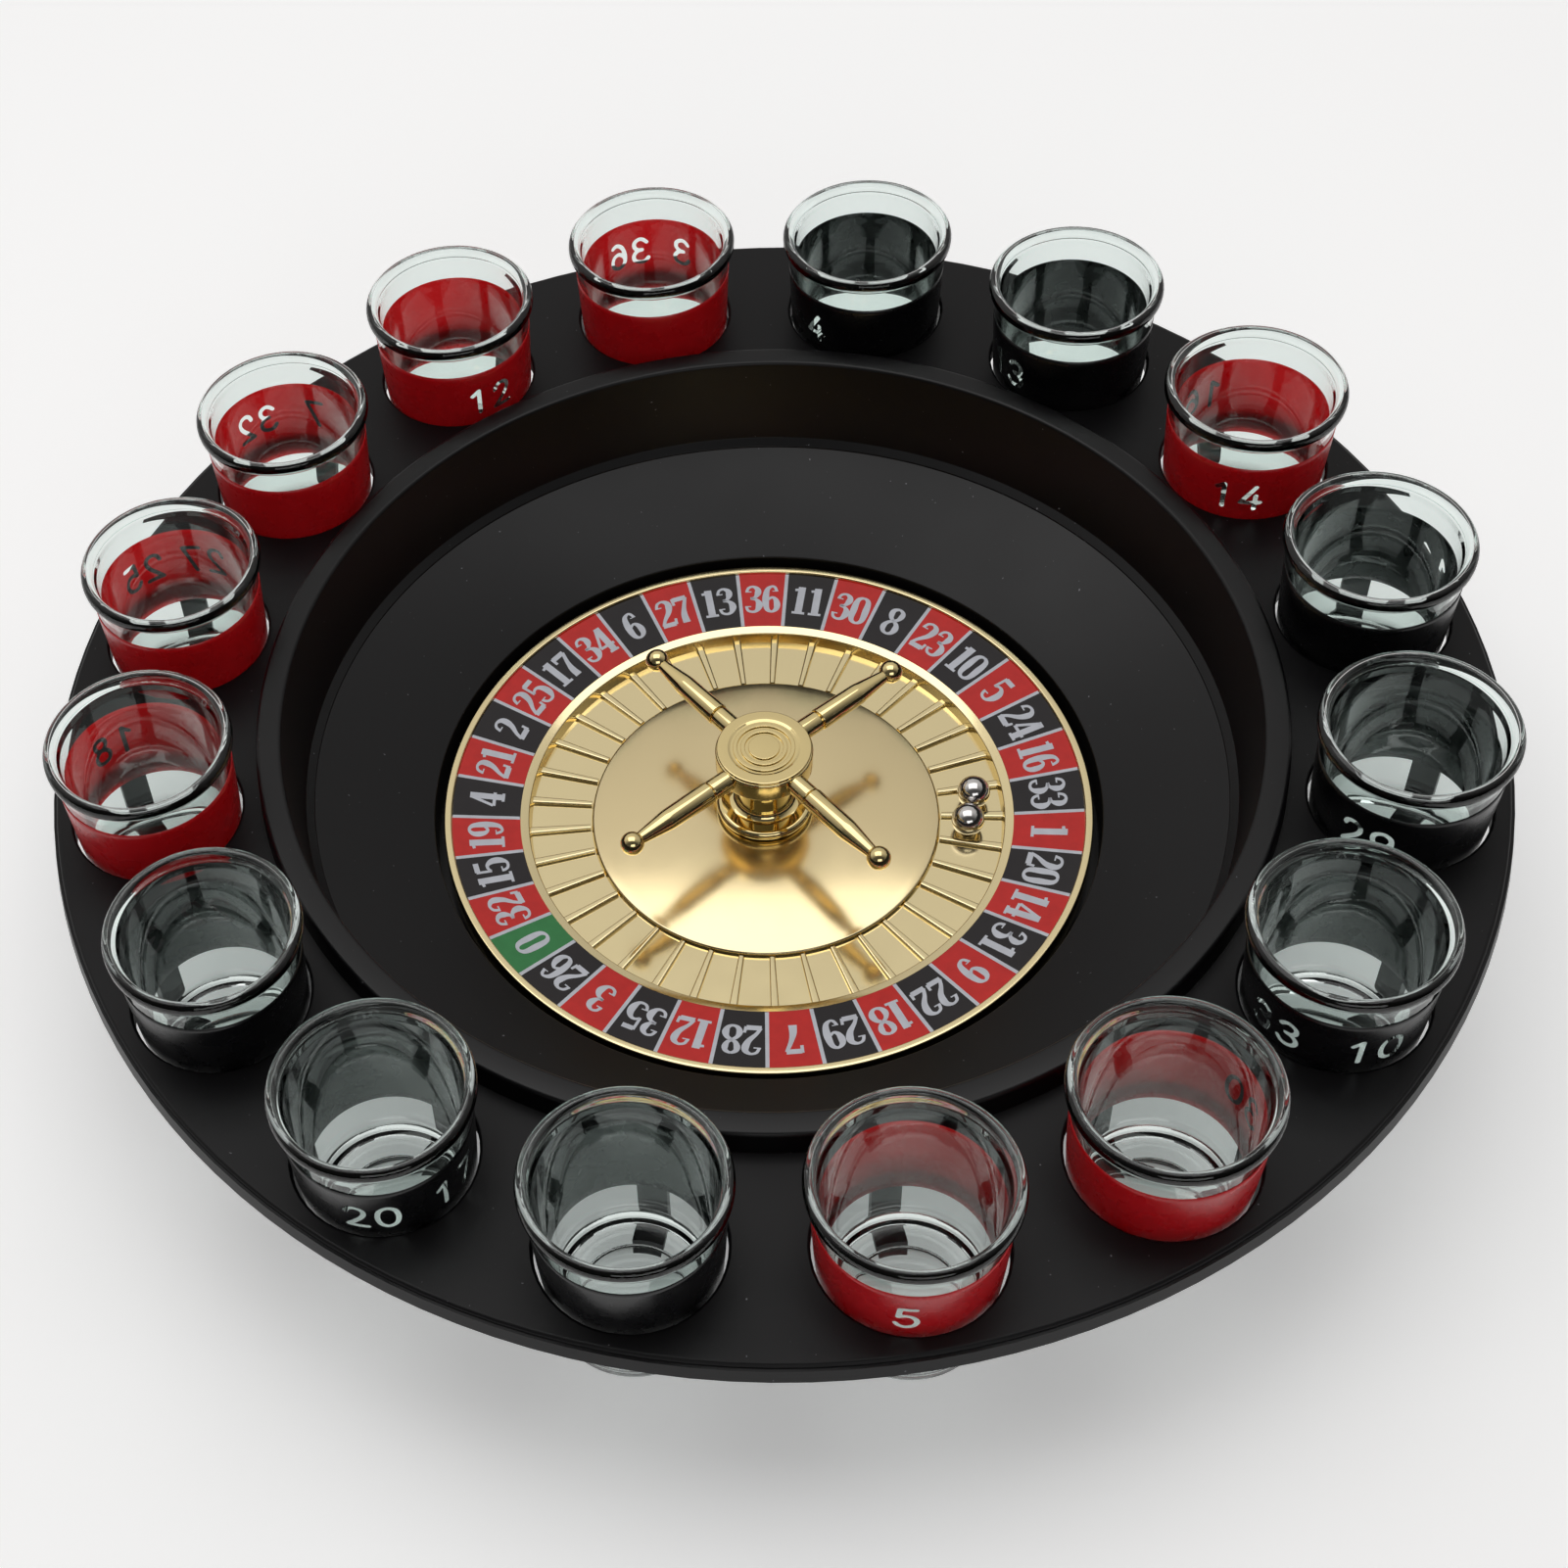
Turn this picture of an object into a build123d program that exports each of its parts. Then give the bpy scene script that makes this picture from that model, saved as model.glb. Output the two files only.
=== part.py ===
"""Roulette wheel in a round tray with a ring of drinking glasses.

Lengths are millimetres, +Z is up and the origin is the centre of the footprint on the table, so the
wheel's axis is the Z axis. Each piece is one solid (or one group of equal fasteners) in its own file.
"""
import math
import os

from build123d import *

# Driving sizes
TRAY_RADIUS = 147.5
DECK_HEIGHT = 44.8
GLASS_RADIUS = 17.7
GLASS_HEIGHT = 45.0
BALL_RADIUS = 3.5
GLASS_COUNT = 16
POCKET_COUNT = 37
ARM_COUNT = 4
ROTOR_TO_TRAY = 0.4671
ROTOR_RADIUS = TRAY_RADIUS * ROTOR_TO_TRAY

# Fits
RUNNING_CLEARANCE = 0.05
SNUG_CLEARANCE = 0.02
FULL_TURN = 360.0
TOUCH = 0.001

# Feet and base plate of the bowl
FOOT_COUNT = 6
FOOT_RADIUS = 5.5
FOOT_HEIGHT = 4.0
FOOT_CHAMFER = 0.5
FOOT_INSET = 9.0
BASE_THICKNESS = 2.4
BASE_BOTTOM = FOOT_HEIGHT
BASE_TOP = BASE_BOTTOM + BASE_THICKNESS
BOSS_RADIUS = 8.0
BOSS_TOP = BASE_TOP + 2.6

# Spindle, thrust washer and bearing bush
PIN_RADIUS = 3.0
PIN_HEAD_RADIUS = 4.6
PIN_HEAD_THICKNESS = 1.2
PIN_HEAD_TOP = BASE_BOTTOM + 1.4
PIN_HEAD_ROOM = 0.1
WASHER_THICKNESS = 0.8
WASHER_RADIUS = 6.5
HUB_BOTTOM = BOSS_TOP + WASHER_THICKNESS
BUSH_RADIUS = 4.4
BUSH_LENGTH = 17.5
BUSH_TOP = HUB_BOTTOM + BUSH_LENGTH
AXIAL_PLAY = 0.3
PIN_TOP = BUSH_TOP + AXIAL_PLAY
KEEPER_RADIUS = 5.4
KEEPER_THICKNESS = 0.6
KEEPER_HOLE_RADIUS = 1.6
KEEPER_SCREW_RADIUS = 1.45
KEEPER_SCREW_LENGTH = 7.0
KEEPER_HEAD_RADIUS = 2.7
KEEPER_HEAD_HEIGHT = 1.6
TAPPED_RADIUS = KEEPER_SCREW_RADIUS + RUNNING_CLEARANCE
TAPPED_DEPTH = 7.6
RECESS_WIDTH_SHARE = 0.24
RECESS_LENGTH_SHARE = 1.15
RECESS_DEPTH_SHARE = 0.5

# Rotor: heights are counted from the pocket floor, shares are of the rotor's radius
POCKET_FLOOR = BASE_TOP + 3.6
ROTOR_WALL = 1.6
ROTOR_SKIRT_BOTTOM = POCKET_FLOOR - 0.6
ROTOR_UNDERSIDE = POCKET_FLOOR - ROTOR_WALL
ROTOR_LIP_TOP = POCKET_FLOOR + 5.4
ROTOR_LIP_WIDTH = 1.7
ROTOR_LIP_ROUNDING = 0.4
LABEL_THICKNESS = 0.25
LABEL_OUTER_RADIUS = ROTOR_RADIUS - ROTOR_LIP_WIDTH
LABEL_OUTER_TOP = POCKET_FLOOR + 4.7
LABEL_INNER_SHARE = 0.762
LABEL_INNER_RADIUS = ROTOR_RADIUS * LABEL_INNER_SHARE
LABEL_INNER_TOP = POCKET_FLOOR + 3.0
LABEL_EDGE_GAP = 0.05
POCKET_OUTER_RADIUS = LABEL_INNER_RADIUS - 2.3
POCKET_WALL_TOP_RADIUS = LABEL_INNER_RADIUS - 1.8
POCKET_WALL_TOP = POCKET_FLOOR + 2.5
POCKET_WALL_ROUNDING = 0.35
POCKET_INNER_SHARE = 0.5443
POCKET_INNER_RADIUS = ROTOR_RADIUS * POCKET_INNER_SHARE
CONE_RADIUS = POCKET_INNER_RADIUS - 0.5
CONE_EDGE_TOP = POCKET_FLOOR + 1.2
CONE_EDGE_ROUNDING = 0.6
CONE_FOOT_RADIUS = CONE_RADIUS + 0.3
TURRET_SEAT_RADIUS = 10.8
TURRET_SEAT = HUB_BOTTOM + 3.8
CONE_BULGE = 0.55
HUB_RADIUS = 8.0
RIB_INNER_WIDTH = 1.2
RIB_OUTER_WIDTH = 1.8
RIB_HEIGHT = 0.85
RIB_ROUNDING = 0.4
RIB_SINK = 0.3
RIB_FIRST_ANGLE = 87.0

# Turret: heights are counted from its seat on the rotor
TURRET_FOOT_RADIUS = 8.0
TURRET_FOOT_HEIGHT = 0.5
BEAD_RADIUS = 1.15
BEAD_OUTER_RADIUS = 10.25
FOOT_FLARE_RADIUS = 7.4
FOOT_FLARE_BEND = (6.15, 3.45)
WAIST_RADIUS = 5.7
WAIST_BOTTOM = TURRET_SEAT + 4.8
WAIST_TOP = TURRET_SEAT + 11.2
NECK_BEND = (6.9, 13.5)
TURRET_RADIUS = 10.2
TURRET_HUB_BOTTOM = TURRET_SEAT + 14.4
TURRET_HUB_TOP = TURRET_SEAT + 19.2
TURRET_HUB_ROUNDING = 0.5
TURRET_CAVITY_RADIUS = 6.4
CAP_PLUG_DEPTH = 1.5
CAP_RADIUS = 9.9
CAP_THICKNESS = 0.7
CAP_EDGE_DROP = 0.1
CAP_ROUNDING = 0.3
CAP_GROOVE_DEPTH = 0.35
CAP_DISH_RADII = (7.6, 7.1)
CAP_RING_RADII = (6.5, 5.6, 4.9, 4.0, 3.3)
CAP_RING_ROUNDING = 0.15

# Handle arms, sizes counted outwards from the wheel's axis
ARM_FIRST_ANGLE = 40.13
ARM_HEIGHT = TURRET_SEAT + 16.85
ARM_STUD_RADIUS = 1.2
ARM_STUD_START = 7.0
ARM_SEAT = 9.6
ARM_RADIUS = 2.25
ARM_COLLAR_START = 14.7
ARM_COLLAR_END = 15.0
ARM_COLLAR_RADIUS = 1.85
ARM_GRIP_RADIUS = 2.45
ARM_REACH_SHARE = 0.5138
ARM_REACH = ROTOR_RADIUS * ARM_REACH_SHARE
ARM_TAPER_LENGTH = 9.4
ARM_TAPER_START = ARM_REACH - ARM_TAPER_LENGTH
ARM_TAPER_RADIUS = 2.3
ARM_TIP_NECK_RADIUS = 1.35
ARM_TIP_RADIUS = 2.5
ARM_ROUNDING = 0.25

# Bowl: the rim ring sits on the flange of the floor dish, and its ledge covers the seam
ROTOR_GAP = 1.8
WELL_RADIUS = ROTOR_RADIUS + ROTOR_GAP
BOWL_WALL = 2.0
BOWL_UPPER_WALL = 1.6
BOWL_LIP_TOP = ROTOR_LIP_TOP + 1.1
BOWL_LIP_ROUNDING = 0.4
BOWL_FOOT_ROUNDING = 0.8
RIM_RADIUS = TRAY_RADIUS - 43.0
RIM_TOP = DECK_HEIGHT + 5.6
RIM_WIDTH = 5.5
RIM_DRAFT = 0.4
RIM_ROUNDING = 0.9
RIM_INNER_RADIUS = RIM_RADIUS - RIM_WIDTH
WALL_LEAN = 2.3
LEDGE_RADIUS = RIM_INNER_RADIUS - WALL_LEAN
LEDGE_TOP = BOWL_LIP_TOP + 13.0
LEDGE_WIDTH = 1.7
LEDGE_DROP = 1.3
LEDGE_STEP = 0.3
LEDGE_ROUNDING = 0.25
FLOOR_RADIUS = LEDGE_RADIUS - LEDGE_WIDTH
FLOOR_TOP = LEDGE_TOP - LEDGE_DROP - LEDGE_STEP
SEAM_DROP = 0.9
SEAM_HEIGHT = FLOOR_TOP - SEAM_DROP
FLANGE_THICKNESS = 1.2
FLANGE_RADIUS = LEDGE_RADIUS + BOWL_WALL

# Tray deck
DECK_THICKNESS = 2.2
DECK_BOTTOM = DECK_HEIGHT - DECK_THICKNESS
DECK_TO_BOWL_GAP = 0.4
EDGE_STEP_IN = 1.1
EDGE_STEP_DROP = 0.9
EDGE_ROUNDING = 0.8
LIP_DRAFT = 0.5
SKIRT_DROP = 4.0
SKIRT_WALL = 1.6

# Glass stations in the deck
STATION_FIRST_ANGLE = 101.25
STATION_CIRCLE = (TRAY_RADIUS + RIM_RADIUS) / 2 - 0.5
HOLE_RADIUS = GLASS_RADIUS - 0.35
HOLE_ROUNDING = 0.6
COLLAR_GAP = 0.3
COLLAR_WALL = 2.0
COLLAR_DEPTH = 3.6
COLLAR_ROOT = 0.5
LEG_ANGLES = (70.0, 180.0, 290.0)
LEG_WIDTH = 6.0
LEG_THICKNESS = 1.8
TOE_RADIUS = GLASS_RADIUS - 6.2

# Screws that join deck and bowl
DECK_SCREW_COUNT = 8
DECK_SCREW_RADIUS = 0.95
DECK_SCREW_REACH = 3.9
DECK_SCREW_HEAD_RADIUS = 1.85
DECK_SCREW_HEAD_HEIGHT = 1.4
DECK_SCREW_HOLE_RADIUS = 1.2
PILOT_HOLE_RADIUS = 1.0
PILOT_HOLE_DEPTH = 4.3

# Glass: heights are counted from its base, the body widens from foot to bead
GLASS_SINK_SHARE = 0.4911
GLASS_SINK = GLASS_HEIGHT * GLASS_SINK_SHARE
GLASS_SEAT = DECK_HEIGHT - GLASS_SINK
GLASS_FOOT_RADIUS = GLASS_RADIUS - 2.4
GLASS_FOOT_ROUNDING = 1.8
GLASS_PUNT_RADIUS = GLASS_RADIUS - 7.0
GLASS_PUNT_SLOPE = 0.9
GLASS_PUNT_DEPTH = 0.8
GLASS_BASE_THICKNESS = 7.8
GLASS_WALL = 1.7
GLASS_BELLY_RADIUS = GLASS_RADIUS - 0.9
GLASS_BELLY_SHARE = 0.48
GLASS_BELLY_HEIGHT = GLASS_HEIGHT * GLASS_BELLY_SHARE
GLASS_SHOULDER_RADIUS = GLASS_RADIUS - 0.3
GLASS_SHOULDER_SHARE = 0.75
GLASS_SHOULDER_HEIGHT = GLASS_HEIGHT * GLASS_SHOULDER_SHARE
GLASS_NECK_RADIUS = GLASS_RADIUS - 0.05
GLASS_BEAD_RADIUS = GLASS_RADIUS + 1.25
GLASS_BEAD_HEIGHT = 3.1
GLASS_BEAD_SLOPE = 0.4
GLASS_BEAD_LOWER_ROUNDING = 0.6
GLASS_BEAD_UPPER_ROUNDING = 1.0
GLASS_MOUTH_RADIUS = GLASS_RADIUS - 0.7
GLASS_MOUTH_ROUNDING = 0.8
GLASS_MOUTH_DEPTH = 3.6
GLASS_BORE_ROUNDING = 3.0
GLASS_BORE_FOOT_RADIUS = GLASS_RADIUS - 3.9

# Where the two balls lie: pocket number counted from the first rib, and share of the rotor's radius
BALL_PLACES = ((-9, 0.6459), (-10, 0.6241))


def outline(start, *steps):
    """Closed flat face through points; a step that is a pair of points is an arc through the first."""
    edges = []
    here = start
    for step in steps:
        if isinstance(step[0], tuple):
            edges.append(ThreePointArc(here, step[0], step[1]))
            here = step[1]
        else:
            edges.append(Line(here, step))
            here = step
    edges.append(Line(here, start))
    return make_face(edges)


def eased(face, *corners):
    """Round corners of a flat face; each corner is its point and its radius."""
    for (across, along), radius in corners:
        place = Vector(across, along)
        corner = min(face.vertices(), key=lambda vertex: (Vector(*vertex) - place).length)
        face = fillet(corner, radius)
    return face


def turned(face):
    """Solid turned about the Z axis from a flat face drawn as (radius, height)."""
    return revolve(Plane.XZ * face, Axis.Z)


def tube(outer_radius, inner_radius, bottom, top):
    """Plain ring about the Z axis."""
    points = [(outer_radius, bottom), (outer_radius, top), (inner_radius, top)]
    return turned(outline((inner_radius, bottom), *points))


def rod(radius, bottom, top):
    """Plain cylinder about the Z axis."""
    return Pos(0, 0, bottom) * Cylinder(radius, top - bottom, align=(Align.CENTER, Align.CENTER, Align.MIN))


def around(count, first_angle=0.0, step=None):
    """Angles of equal pieces round the axis; a negative step goes clockwise."""
    spacing = FULL_TURN / count if step is None else step
    return [first_angle + spacing * index for index in range(count)]


def at_angle(shape, angle, radius=0.0):
    """Copy of a shape moved out along +X and turned about the Z axis."""
    return Rot(0, 0, angle) * Pos(radius, 0, 0) * shape


def cross_recess(radius, height, top):
    """Cross-shaped driver recess that opens upwards at the given height."""
    length = 2 * radius * RECESS_LENGTH_SHARE / 2
    width = 2 * radius * RECESS_WIDTH_SHARE / 2
    depth = height * RECESS_DEPTH_SHARE
    bar = Pos(0, 0, top) * Box(length, width, depth, align=(Align.CENTER, Align.CENTER, Align.MAX))
    return bar + Rot(0, 0, FULL_TURN / 4) * bar


def inner_wall_radius(height):
    """Radius of the bowl's steep inner wall at a height."""
    share = (RIM_TOP - height) / (RIM_TOP - LEDGE_TOP)
    return RIM_INNER_RADIUS - WALL_LEAN * share


DECK_INNER_RADIUS = inner_wall_radius(DECK_HEIGHT) + BOWL_UPPER_WALL + DECK_TO_BOWL_GAP
DECK_SCREW_CIRCLE = (DECK_INNER_RADIUS + RIM_RADIUS) / 2


def make_bowl_rim():
    """Ring with raised rim, steep inner wall and narrow ledge, screwed to the deck from below."""
    rim_edge = (RIM_RADIUS - RIM_DRAFT, RIM_TOP)
    rim_inner_edge = (RIM_INNER_RADIUS, RIM_TOP)
    ledge_corner = (LEDGE_RADIUS, LEDGE_TOP)
    ledge_edge = (FLOOR_RADIUS, LEDGE_TOP - LEDGE_DROP)
    face = outline(
        (RIM_RADIUS, DECK_HEIGHT),
        rim_edge,
        rim_inner_edge,
        ledge_corner,
        ledge_edge,
        (FLOOR_RADIUS, SEAM_HEIGHT),
        (FLANGE_RADIUS, SEAM_HEIGHT),
        (inner_wall_radius(DECK_HEIGHT) + BOWL_UPPER_WALL, DECK_HEIGHT),
    )
    face = eased(
        face,
        (rim_edge, RIM_ROUNDING),
        (rim_inner_edge, RIM_ROUNDING),
        (ledge_corner, LEDGE_ROUNDING),
        (ledge_edge, LEDGE_ROUNDING),
    )
    pilot = rod(PILOT_HOLE_RADIUS, DECK_HEIGHT - TOUCH, DECK_HEIGHT + PILOT_HOLE_DEPTH)
    return turned(face) - [at_angle(pilot, angle, DECK_SCREW_CIRCLE) for angle in around(DECK_SCREW_COUNT)]


def make_wheel_bowl():
    """Dish with a flange under the rim ring, conical floor, rotor well and spindle boss."""
    bore = PIN_RADIUS + SNUG_CLEARANCE
    head_bore = PIN_HEAD_RADIUS + PIN_HEAD_ROOM
    well_outer = WELL_RADIUS + BOWL_WALL
    floor_edge = FLOOR_RADIUS - SNUG_CLEARANCE
    lip_edge = (WELL_RADIUS, BOWL_LIP_TOP)
    foot_corner = (well_outer, BASE_BOTTOM)
    face = outline(
        (floor_edge, SEAM_HEIGHT),
        (floor_edge, FLOOR_TOP),
        lip_edge,
        (WELL_RADIUS, BASE_TOP),
        (BOSS_RADIUS, BASE_TOP),
        (BOSS_RADIUS, BOSS_TOP),
        (bore, BOSS_TOP),
        (bore, PIN_HEAD_TOP),
        (head_bore, PIN_HEAD_TOP),
        (head_bore, BASE_BOTTOM),
        foot_corner,
        (well_outer, BOWL_LIP_TOP - BOWL_WALL),
        (FLOOR_RADIUS, SEAM_HEIGHT - FLANGE_THICKNESS),
        (FLANGE_RADIUS, SEAM_HEIGHT - FLANGE_THICKNESS),
        (FLANGE_RADIUS, SEAM_HEIGHT),
    )
    return turned(eased(face, (lip_edge, BOWL_LIP_ROUNDING), (foot_corner, BOWL_FOOT_ROUNDING)))


def make_station():
    """Collar below one deck hole with three L-shaped legs whose toes carry the glass."""
    inner = HOLE_RADIUS + COLLAR_GAP
    outer = inner + COLLAR_WALL
    toe_bottom = GLASS_SEAT - LEG_THICKNESS
    root = DECK_BOTTOM + COLLAR_ROOT
    station = tube(outer, inner, DECK_BOTTOM - COLLAR_DEPTH, root)
    drop = tube(outer, inner, toe_bottom, root)
    toes = tube(outer, TOE_RADIUS, toe_bottom, GLASS_SEAT)
    size = (outer, LEG_WIDTH, root - toe_bottom)
    slab = Pos(0, 0, toe_bottom) * Box(*size, align=(Align.MIN, Align.CENTER, Align.MIN))
    leg = (drop + toes) & slab
    return station + [at_angle(leg, angle) for angle in LEG_ANGLES]


def make_tray_deck():
    """Flat ring with short outer skirt, a round hole per glass and the glass supports below."""
    edge = (TRAY_RADIUS - EDGE_STEP_IN, DECK_HEIGHT)
    step_height = DECK_HEIGHT - EDGE_STEP_DROP
    skirt_bottom = DECK_HEIGHT - SKIRT_DROP
    face = outline(
        (DECK_INNER_RADIUS, DECK_HEIGHT),
        edge,
        (TRAY_RADIUS - EDGE_STEP_IN, step_height),
        (TRAY_RADIUS - LIP_DRAFT, step_height),
        (TRAY_RADIUS, skirt_bottom),
        (TRAY_RADIUS - SKIRT_WALL, skirt_bottom),
        (TRAY_RADIUS - SKIRT_WALL, DECK_BOTTOM),
        (DECK_INNER_RADIUS, DECK_BOTTOM),
    )
    deck = turned(eased(face, (edge, EDGE_ROUNDING)))
    places = around(GLASS_COUNT, STATION_FIRST_ANGLE)
    hole = rod(HOLE_RADIUS, DECK_BOTTOM - TOUCH, DECK_HEIGHT + TOUCH)
    deck -= [at_angle(hole, angle, STATION_CIRCLE) for angle in places]
    top_edges = deck.edges().filter_by(GeomType.CIRCLE).filter_by_position(Axis.Z, DECK_HEIGHT, DECK_HEIGHT)
    hole_edges = [edge for edge in top_edges if abs(edge.radius - HOLE_RADIUS) < TOUCH]
    deck = fillet(hole_edges, HOLE_ROUNDING)
    screw_hole = rod(DECK_SCREW_HOLE_RADIUS, DECK_BOTTOM - TOUCH, DECK_HEIGHT + TOUCH)
    deck -= [at_angle(screw_hole, angle, DECK_SCREW_CIRCLE) for angle in around(DECK_SCREW_COUNT)]
    station = make_station()
    return deck + [at_angle(station, angle, STATION_CIRCLE) for angle in places]


def make_deck_screw():
    """Pan-head self-tapping screw, driven upwards."""
    head_bottom = DECK_BOTTOM - DECK_SCREW_HEAD_HEIGHT
    screw = rod(DECK_SCREW_RADIUS, DECK_BOTTOM, DECK_HEIGHT + DECK_SCREW_REACH)
    screw += rod(DECK_SCREW_HEAD_RADIUS, head_bottom, DECK_BOTTOM)
    depth = DECK_SCREW_HEAD_HEIGHT * RECESS_DEPTH_SHARE
    return screw - cross_recess(DECK_SCREW_HEAD_RADIUS, DECK_SCREW_HEAD_HEIGHT, head_bottom + depth)


def make_foot():
    """Rubber foot with a chamfered lower edge."""
    foot = rod(FOOT_RADIUS, 0, FOOT_HEIGHT)
    return chamfer(foot.faces().sort_by(Axis.Z)[0].edges(), FOOT_CHAMFER)


def make_spindle():
    """Fixed pin with a flange at the bottom and a tapped hole in the top."""
    pin = rod(PIN_RADIUS, PIN_HEAD_TOP, PIN_TOP)
    pin += rod(PIN_HEAD_RADIUS, PIN_HEAD_TOP - PIN_HEAD_THICKNESS, PIN_HEAD_TOP)
    return pin - rod(TAPPED_RADIUS, PIN_TOP - TAPPED_DEPTH, PIN_TOP + TOUCH)


def make_keeper_screw():
    """Pan-head machine screw that holds the keeper washer on the spindle."""
    seat = PIN_TOP + KEEPER_THICKNESS
    top = seat + KEEPER_HEAD_HEIGHT
    screw = rod(KEEPER_SCREW_RADIUS, seat - KEEPER_SCREW_LENGTH, seat)
    screw += rod(KEEPER_HEAD_RADIUS, seat, top)
    return screw - cross_recess(KEEPER_HEAD_RADIUS, KEEPER_HEAD_HEIGHT, top)


def make_rib():
    """Low rounded rib between two pockets, wider towards the rim and rooted in the pocket floor."""
    end = POCKET_OUTER_RADIUS + RIB_SINK
    inner_half = RIB_INNER_WIDTH / 2
    outer_half = RIB_OUTER_WIDTH / 2
    plan = outline(
        (POCKET_INNER_RADIUS, -inner_half),
        (end, -outer_half),
        (end, outer_half),
        (POCKET_INNER_RADIUS, inner_half),
    )
    rib = extrude(Pos(0, 0, POCKET_FLOOR - RIB_SINK) * plan, RIB_HEIGHT + RIB_SINK)
    long_edges = [edge for edge in rib.faces().sort_by(Axis.Z)[-1].edges() if edge.length > RIB_OUTER_WIDTH]
    return fillet(long_edges, RIB_ROUNDING)


def make_rotor_disc():
    """Plated shell with outer lip, ring seat, pockets with low ribs, and a shallow convex cone."""
    bore = BUSH_RADIUS + SNUG_CLEARANCE
    lip_outer = (ROTOR_RADIUS, ROTOR_LIP_TOP)
    lip_inner = (LABEL_OUTER_RADIUS, ROTOR_LIP_TOP)
    pocket_edge = (POCKET_WALL_TOP_RADIUS, POCKET_WALL_TOP)
    cone_edge = (CONE_RADIUS, CONE_EDGE_TOP)
    cone_middle = (
        (CONE_RADIUS + TURRET_SEAT_RADIUS) / 2,
        (CONE_EDGE_TOP + TURRET_SEAT) / 2 + CONE_BULGE,
    )
    seat_edge = (TURRET_SEAT_RADIUS, TURRET_SEAT)
    skirt_inner = ROTOR_RADIUS - ROTOR_WALL
    face = outline(
        (ROTOR_RADIUS, ROTOR_SKIRT_BOTTOM),
        lip_outer,
        lip_inner,
        (LABEL_OUTER_RADIUS, LABEL_OUTER_TOP - LABEL_THICKNESS),
        (LABEL_INNER_RADIUS, LABEL_INNER_TOP - LABEL_THICKNESS),
        (LABEL_INNER_RADIUS, LABEL_INNER_TOP),
        pocket_edge,
        (POCKET_OUTER_RADIUS, POCKET_FLOOR),
        (CONE_FOOT_RADIUS, POCKET_FLOOR),
        cone_edge,
        (cone_middle, seat_edge),
        (bore, TURRET_SEAT),
        (bore, HUB_BOTTOM),
        (HUB_RADIUS, HUB_BOTTOM),
        (HUB_RADIUS, TURRET_SEAT - ROTOR_WALL),
        (TURRET_SEAT_RADIUS, TURRET_SEAT - ROTOR_WALL),
        ((cone_middle[0], cone_middle[1] - ROTOR_WALL), (CONE_RADIUS, ROTOR_UNDERSIDE)),
        (POCKET_OUTER_RADIUS + ROTOR_WALL, ROTOR_UNDERSIDE),
        (LABEL_INNER_RADIUS + ROTOR_WALL / 2, LABEL_INNER_TOP - LABEL_THICKNESS - ROTOR_WALL),
        (skirt_inner, LABEL_OUTER_TOP - LABEL_THICKNESS - ROTOR_WALL),
        (skirt_inner, ROTOR_SKIRT_BOTTOM),
    )
    face = eased(
        face,
        (lip_outer, ROTOR_LIP_ROUNDING),
        (lip_inner, ROTOR_LIP_ROUNDING),
        (pocket_edge, POCKET_WALL_ROUNDING),
        (cone_edge, CONE_EDGE_ROUNDING),
    )
    rib = make_rib()
    return turned(face) + [at_angle(rib, angle) for angle in around(POCKET_COUNT, RIB_FIRST_ANGLE)]


def make_number_ring():
    """Thin printed ring that lies on the sloping seat between lip and pockets."""
    inner = LABEL_INNER_RADIUS + LABEL_EDGE_GAP
    outer = LABEL_OUTER_RADIUS - LABEL_EDGE_GAP
    slope = (LABEL_OUTER_TOP - LABEL_INNER_TOP) / (LABEL_OUTER_RADIUS - LABEL_INNER_RADIUS)
    inner_top = LABEL_INNER_TOP + slope * LABEL_EDGE_GAP
    outer_top = LABEL_OUTER_TOP - slope * LABEL_EDGE_GAP
    face = outline(
        (inner, inner_top - LABEL_THICKNESS),
        (inner, inner_top),
        (outer, outer_top),
        (outer, outer_top - LABEL_THICKNESS),
    )
    return turned(face)


def make_turret_post():
    """Turned post: short foot, bead, flare, waist and a hollow hub with a socket for each arm."""
    bore = BUSH_RADIUS + SNUG_CLEARANCE
    bead_centre = BEAD_OUTER_RADIUS - BEAD_RADIUS
    bead_bottom = TURRET_SEAT + TURRET_FOOT_HEIGHT
    bead_top = bead_bottom + 2 * BEAD_RADIUS
    hub_edge = (TURRET_RADIUS, TURRET_HUB_TOP)
    face = outline(
        (bore, TURRET_SEAT),
        (TURRET_FOOT_RADIUS, TURRET_SEAT),
        (TURRET_FOOT_RADIUS, bead_bottom),
        (bead_centre, bead_bottom),
        ((BEAD_OUTER_RADIUS, bead_bottom + BEAD_RADIUS), (bead_centre, bead_top)),
        (FOOT_FLARE_RADIUS, bead_top),
        ((FOOT_FLARE_BEND[0], TURRET_SEAT + FOOT_FLARE_BEND[1]), (WAIST_RADIUS, WAIST_BOTTOM)),
        (WAIST_RADIUS, WAIST_TOP),
        ((NECK_BEND[0], TURRET_SEAT + NECK_BEND[1]), (TURRET_RADIUS, TURRET_HUB_BOTTOM)),
        hub_edge,
        (TURRET_CAVITY_RADIUS, TURRET_HUB_TOP),
        (TURRET_CAVITY_RADIUS, BUSH_TOP),
        (bore, BUSH_TOP),
    )
    post = turned(eased(face, (hub_edge, TURRET_HUB_ROUNDING)))
    socket = rod(ARM_RADIUS + SNUG_CLEARANCE, ARM_SEAT, TURRET_RADIUS + ARM_RADIUS)
    socket += rod(ARM_STUD_RADIUS + SNUG_CLEARANCE, ARM_STUD_START - RUNNING_CLEARANCE, ARM_SEAT + TOUCH)
    return post - [laid_out(socket, angle) for angle in around(ARM_COUNT, ARM_FIRST_ANGLE)]


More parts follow.
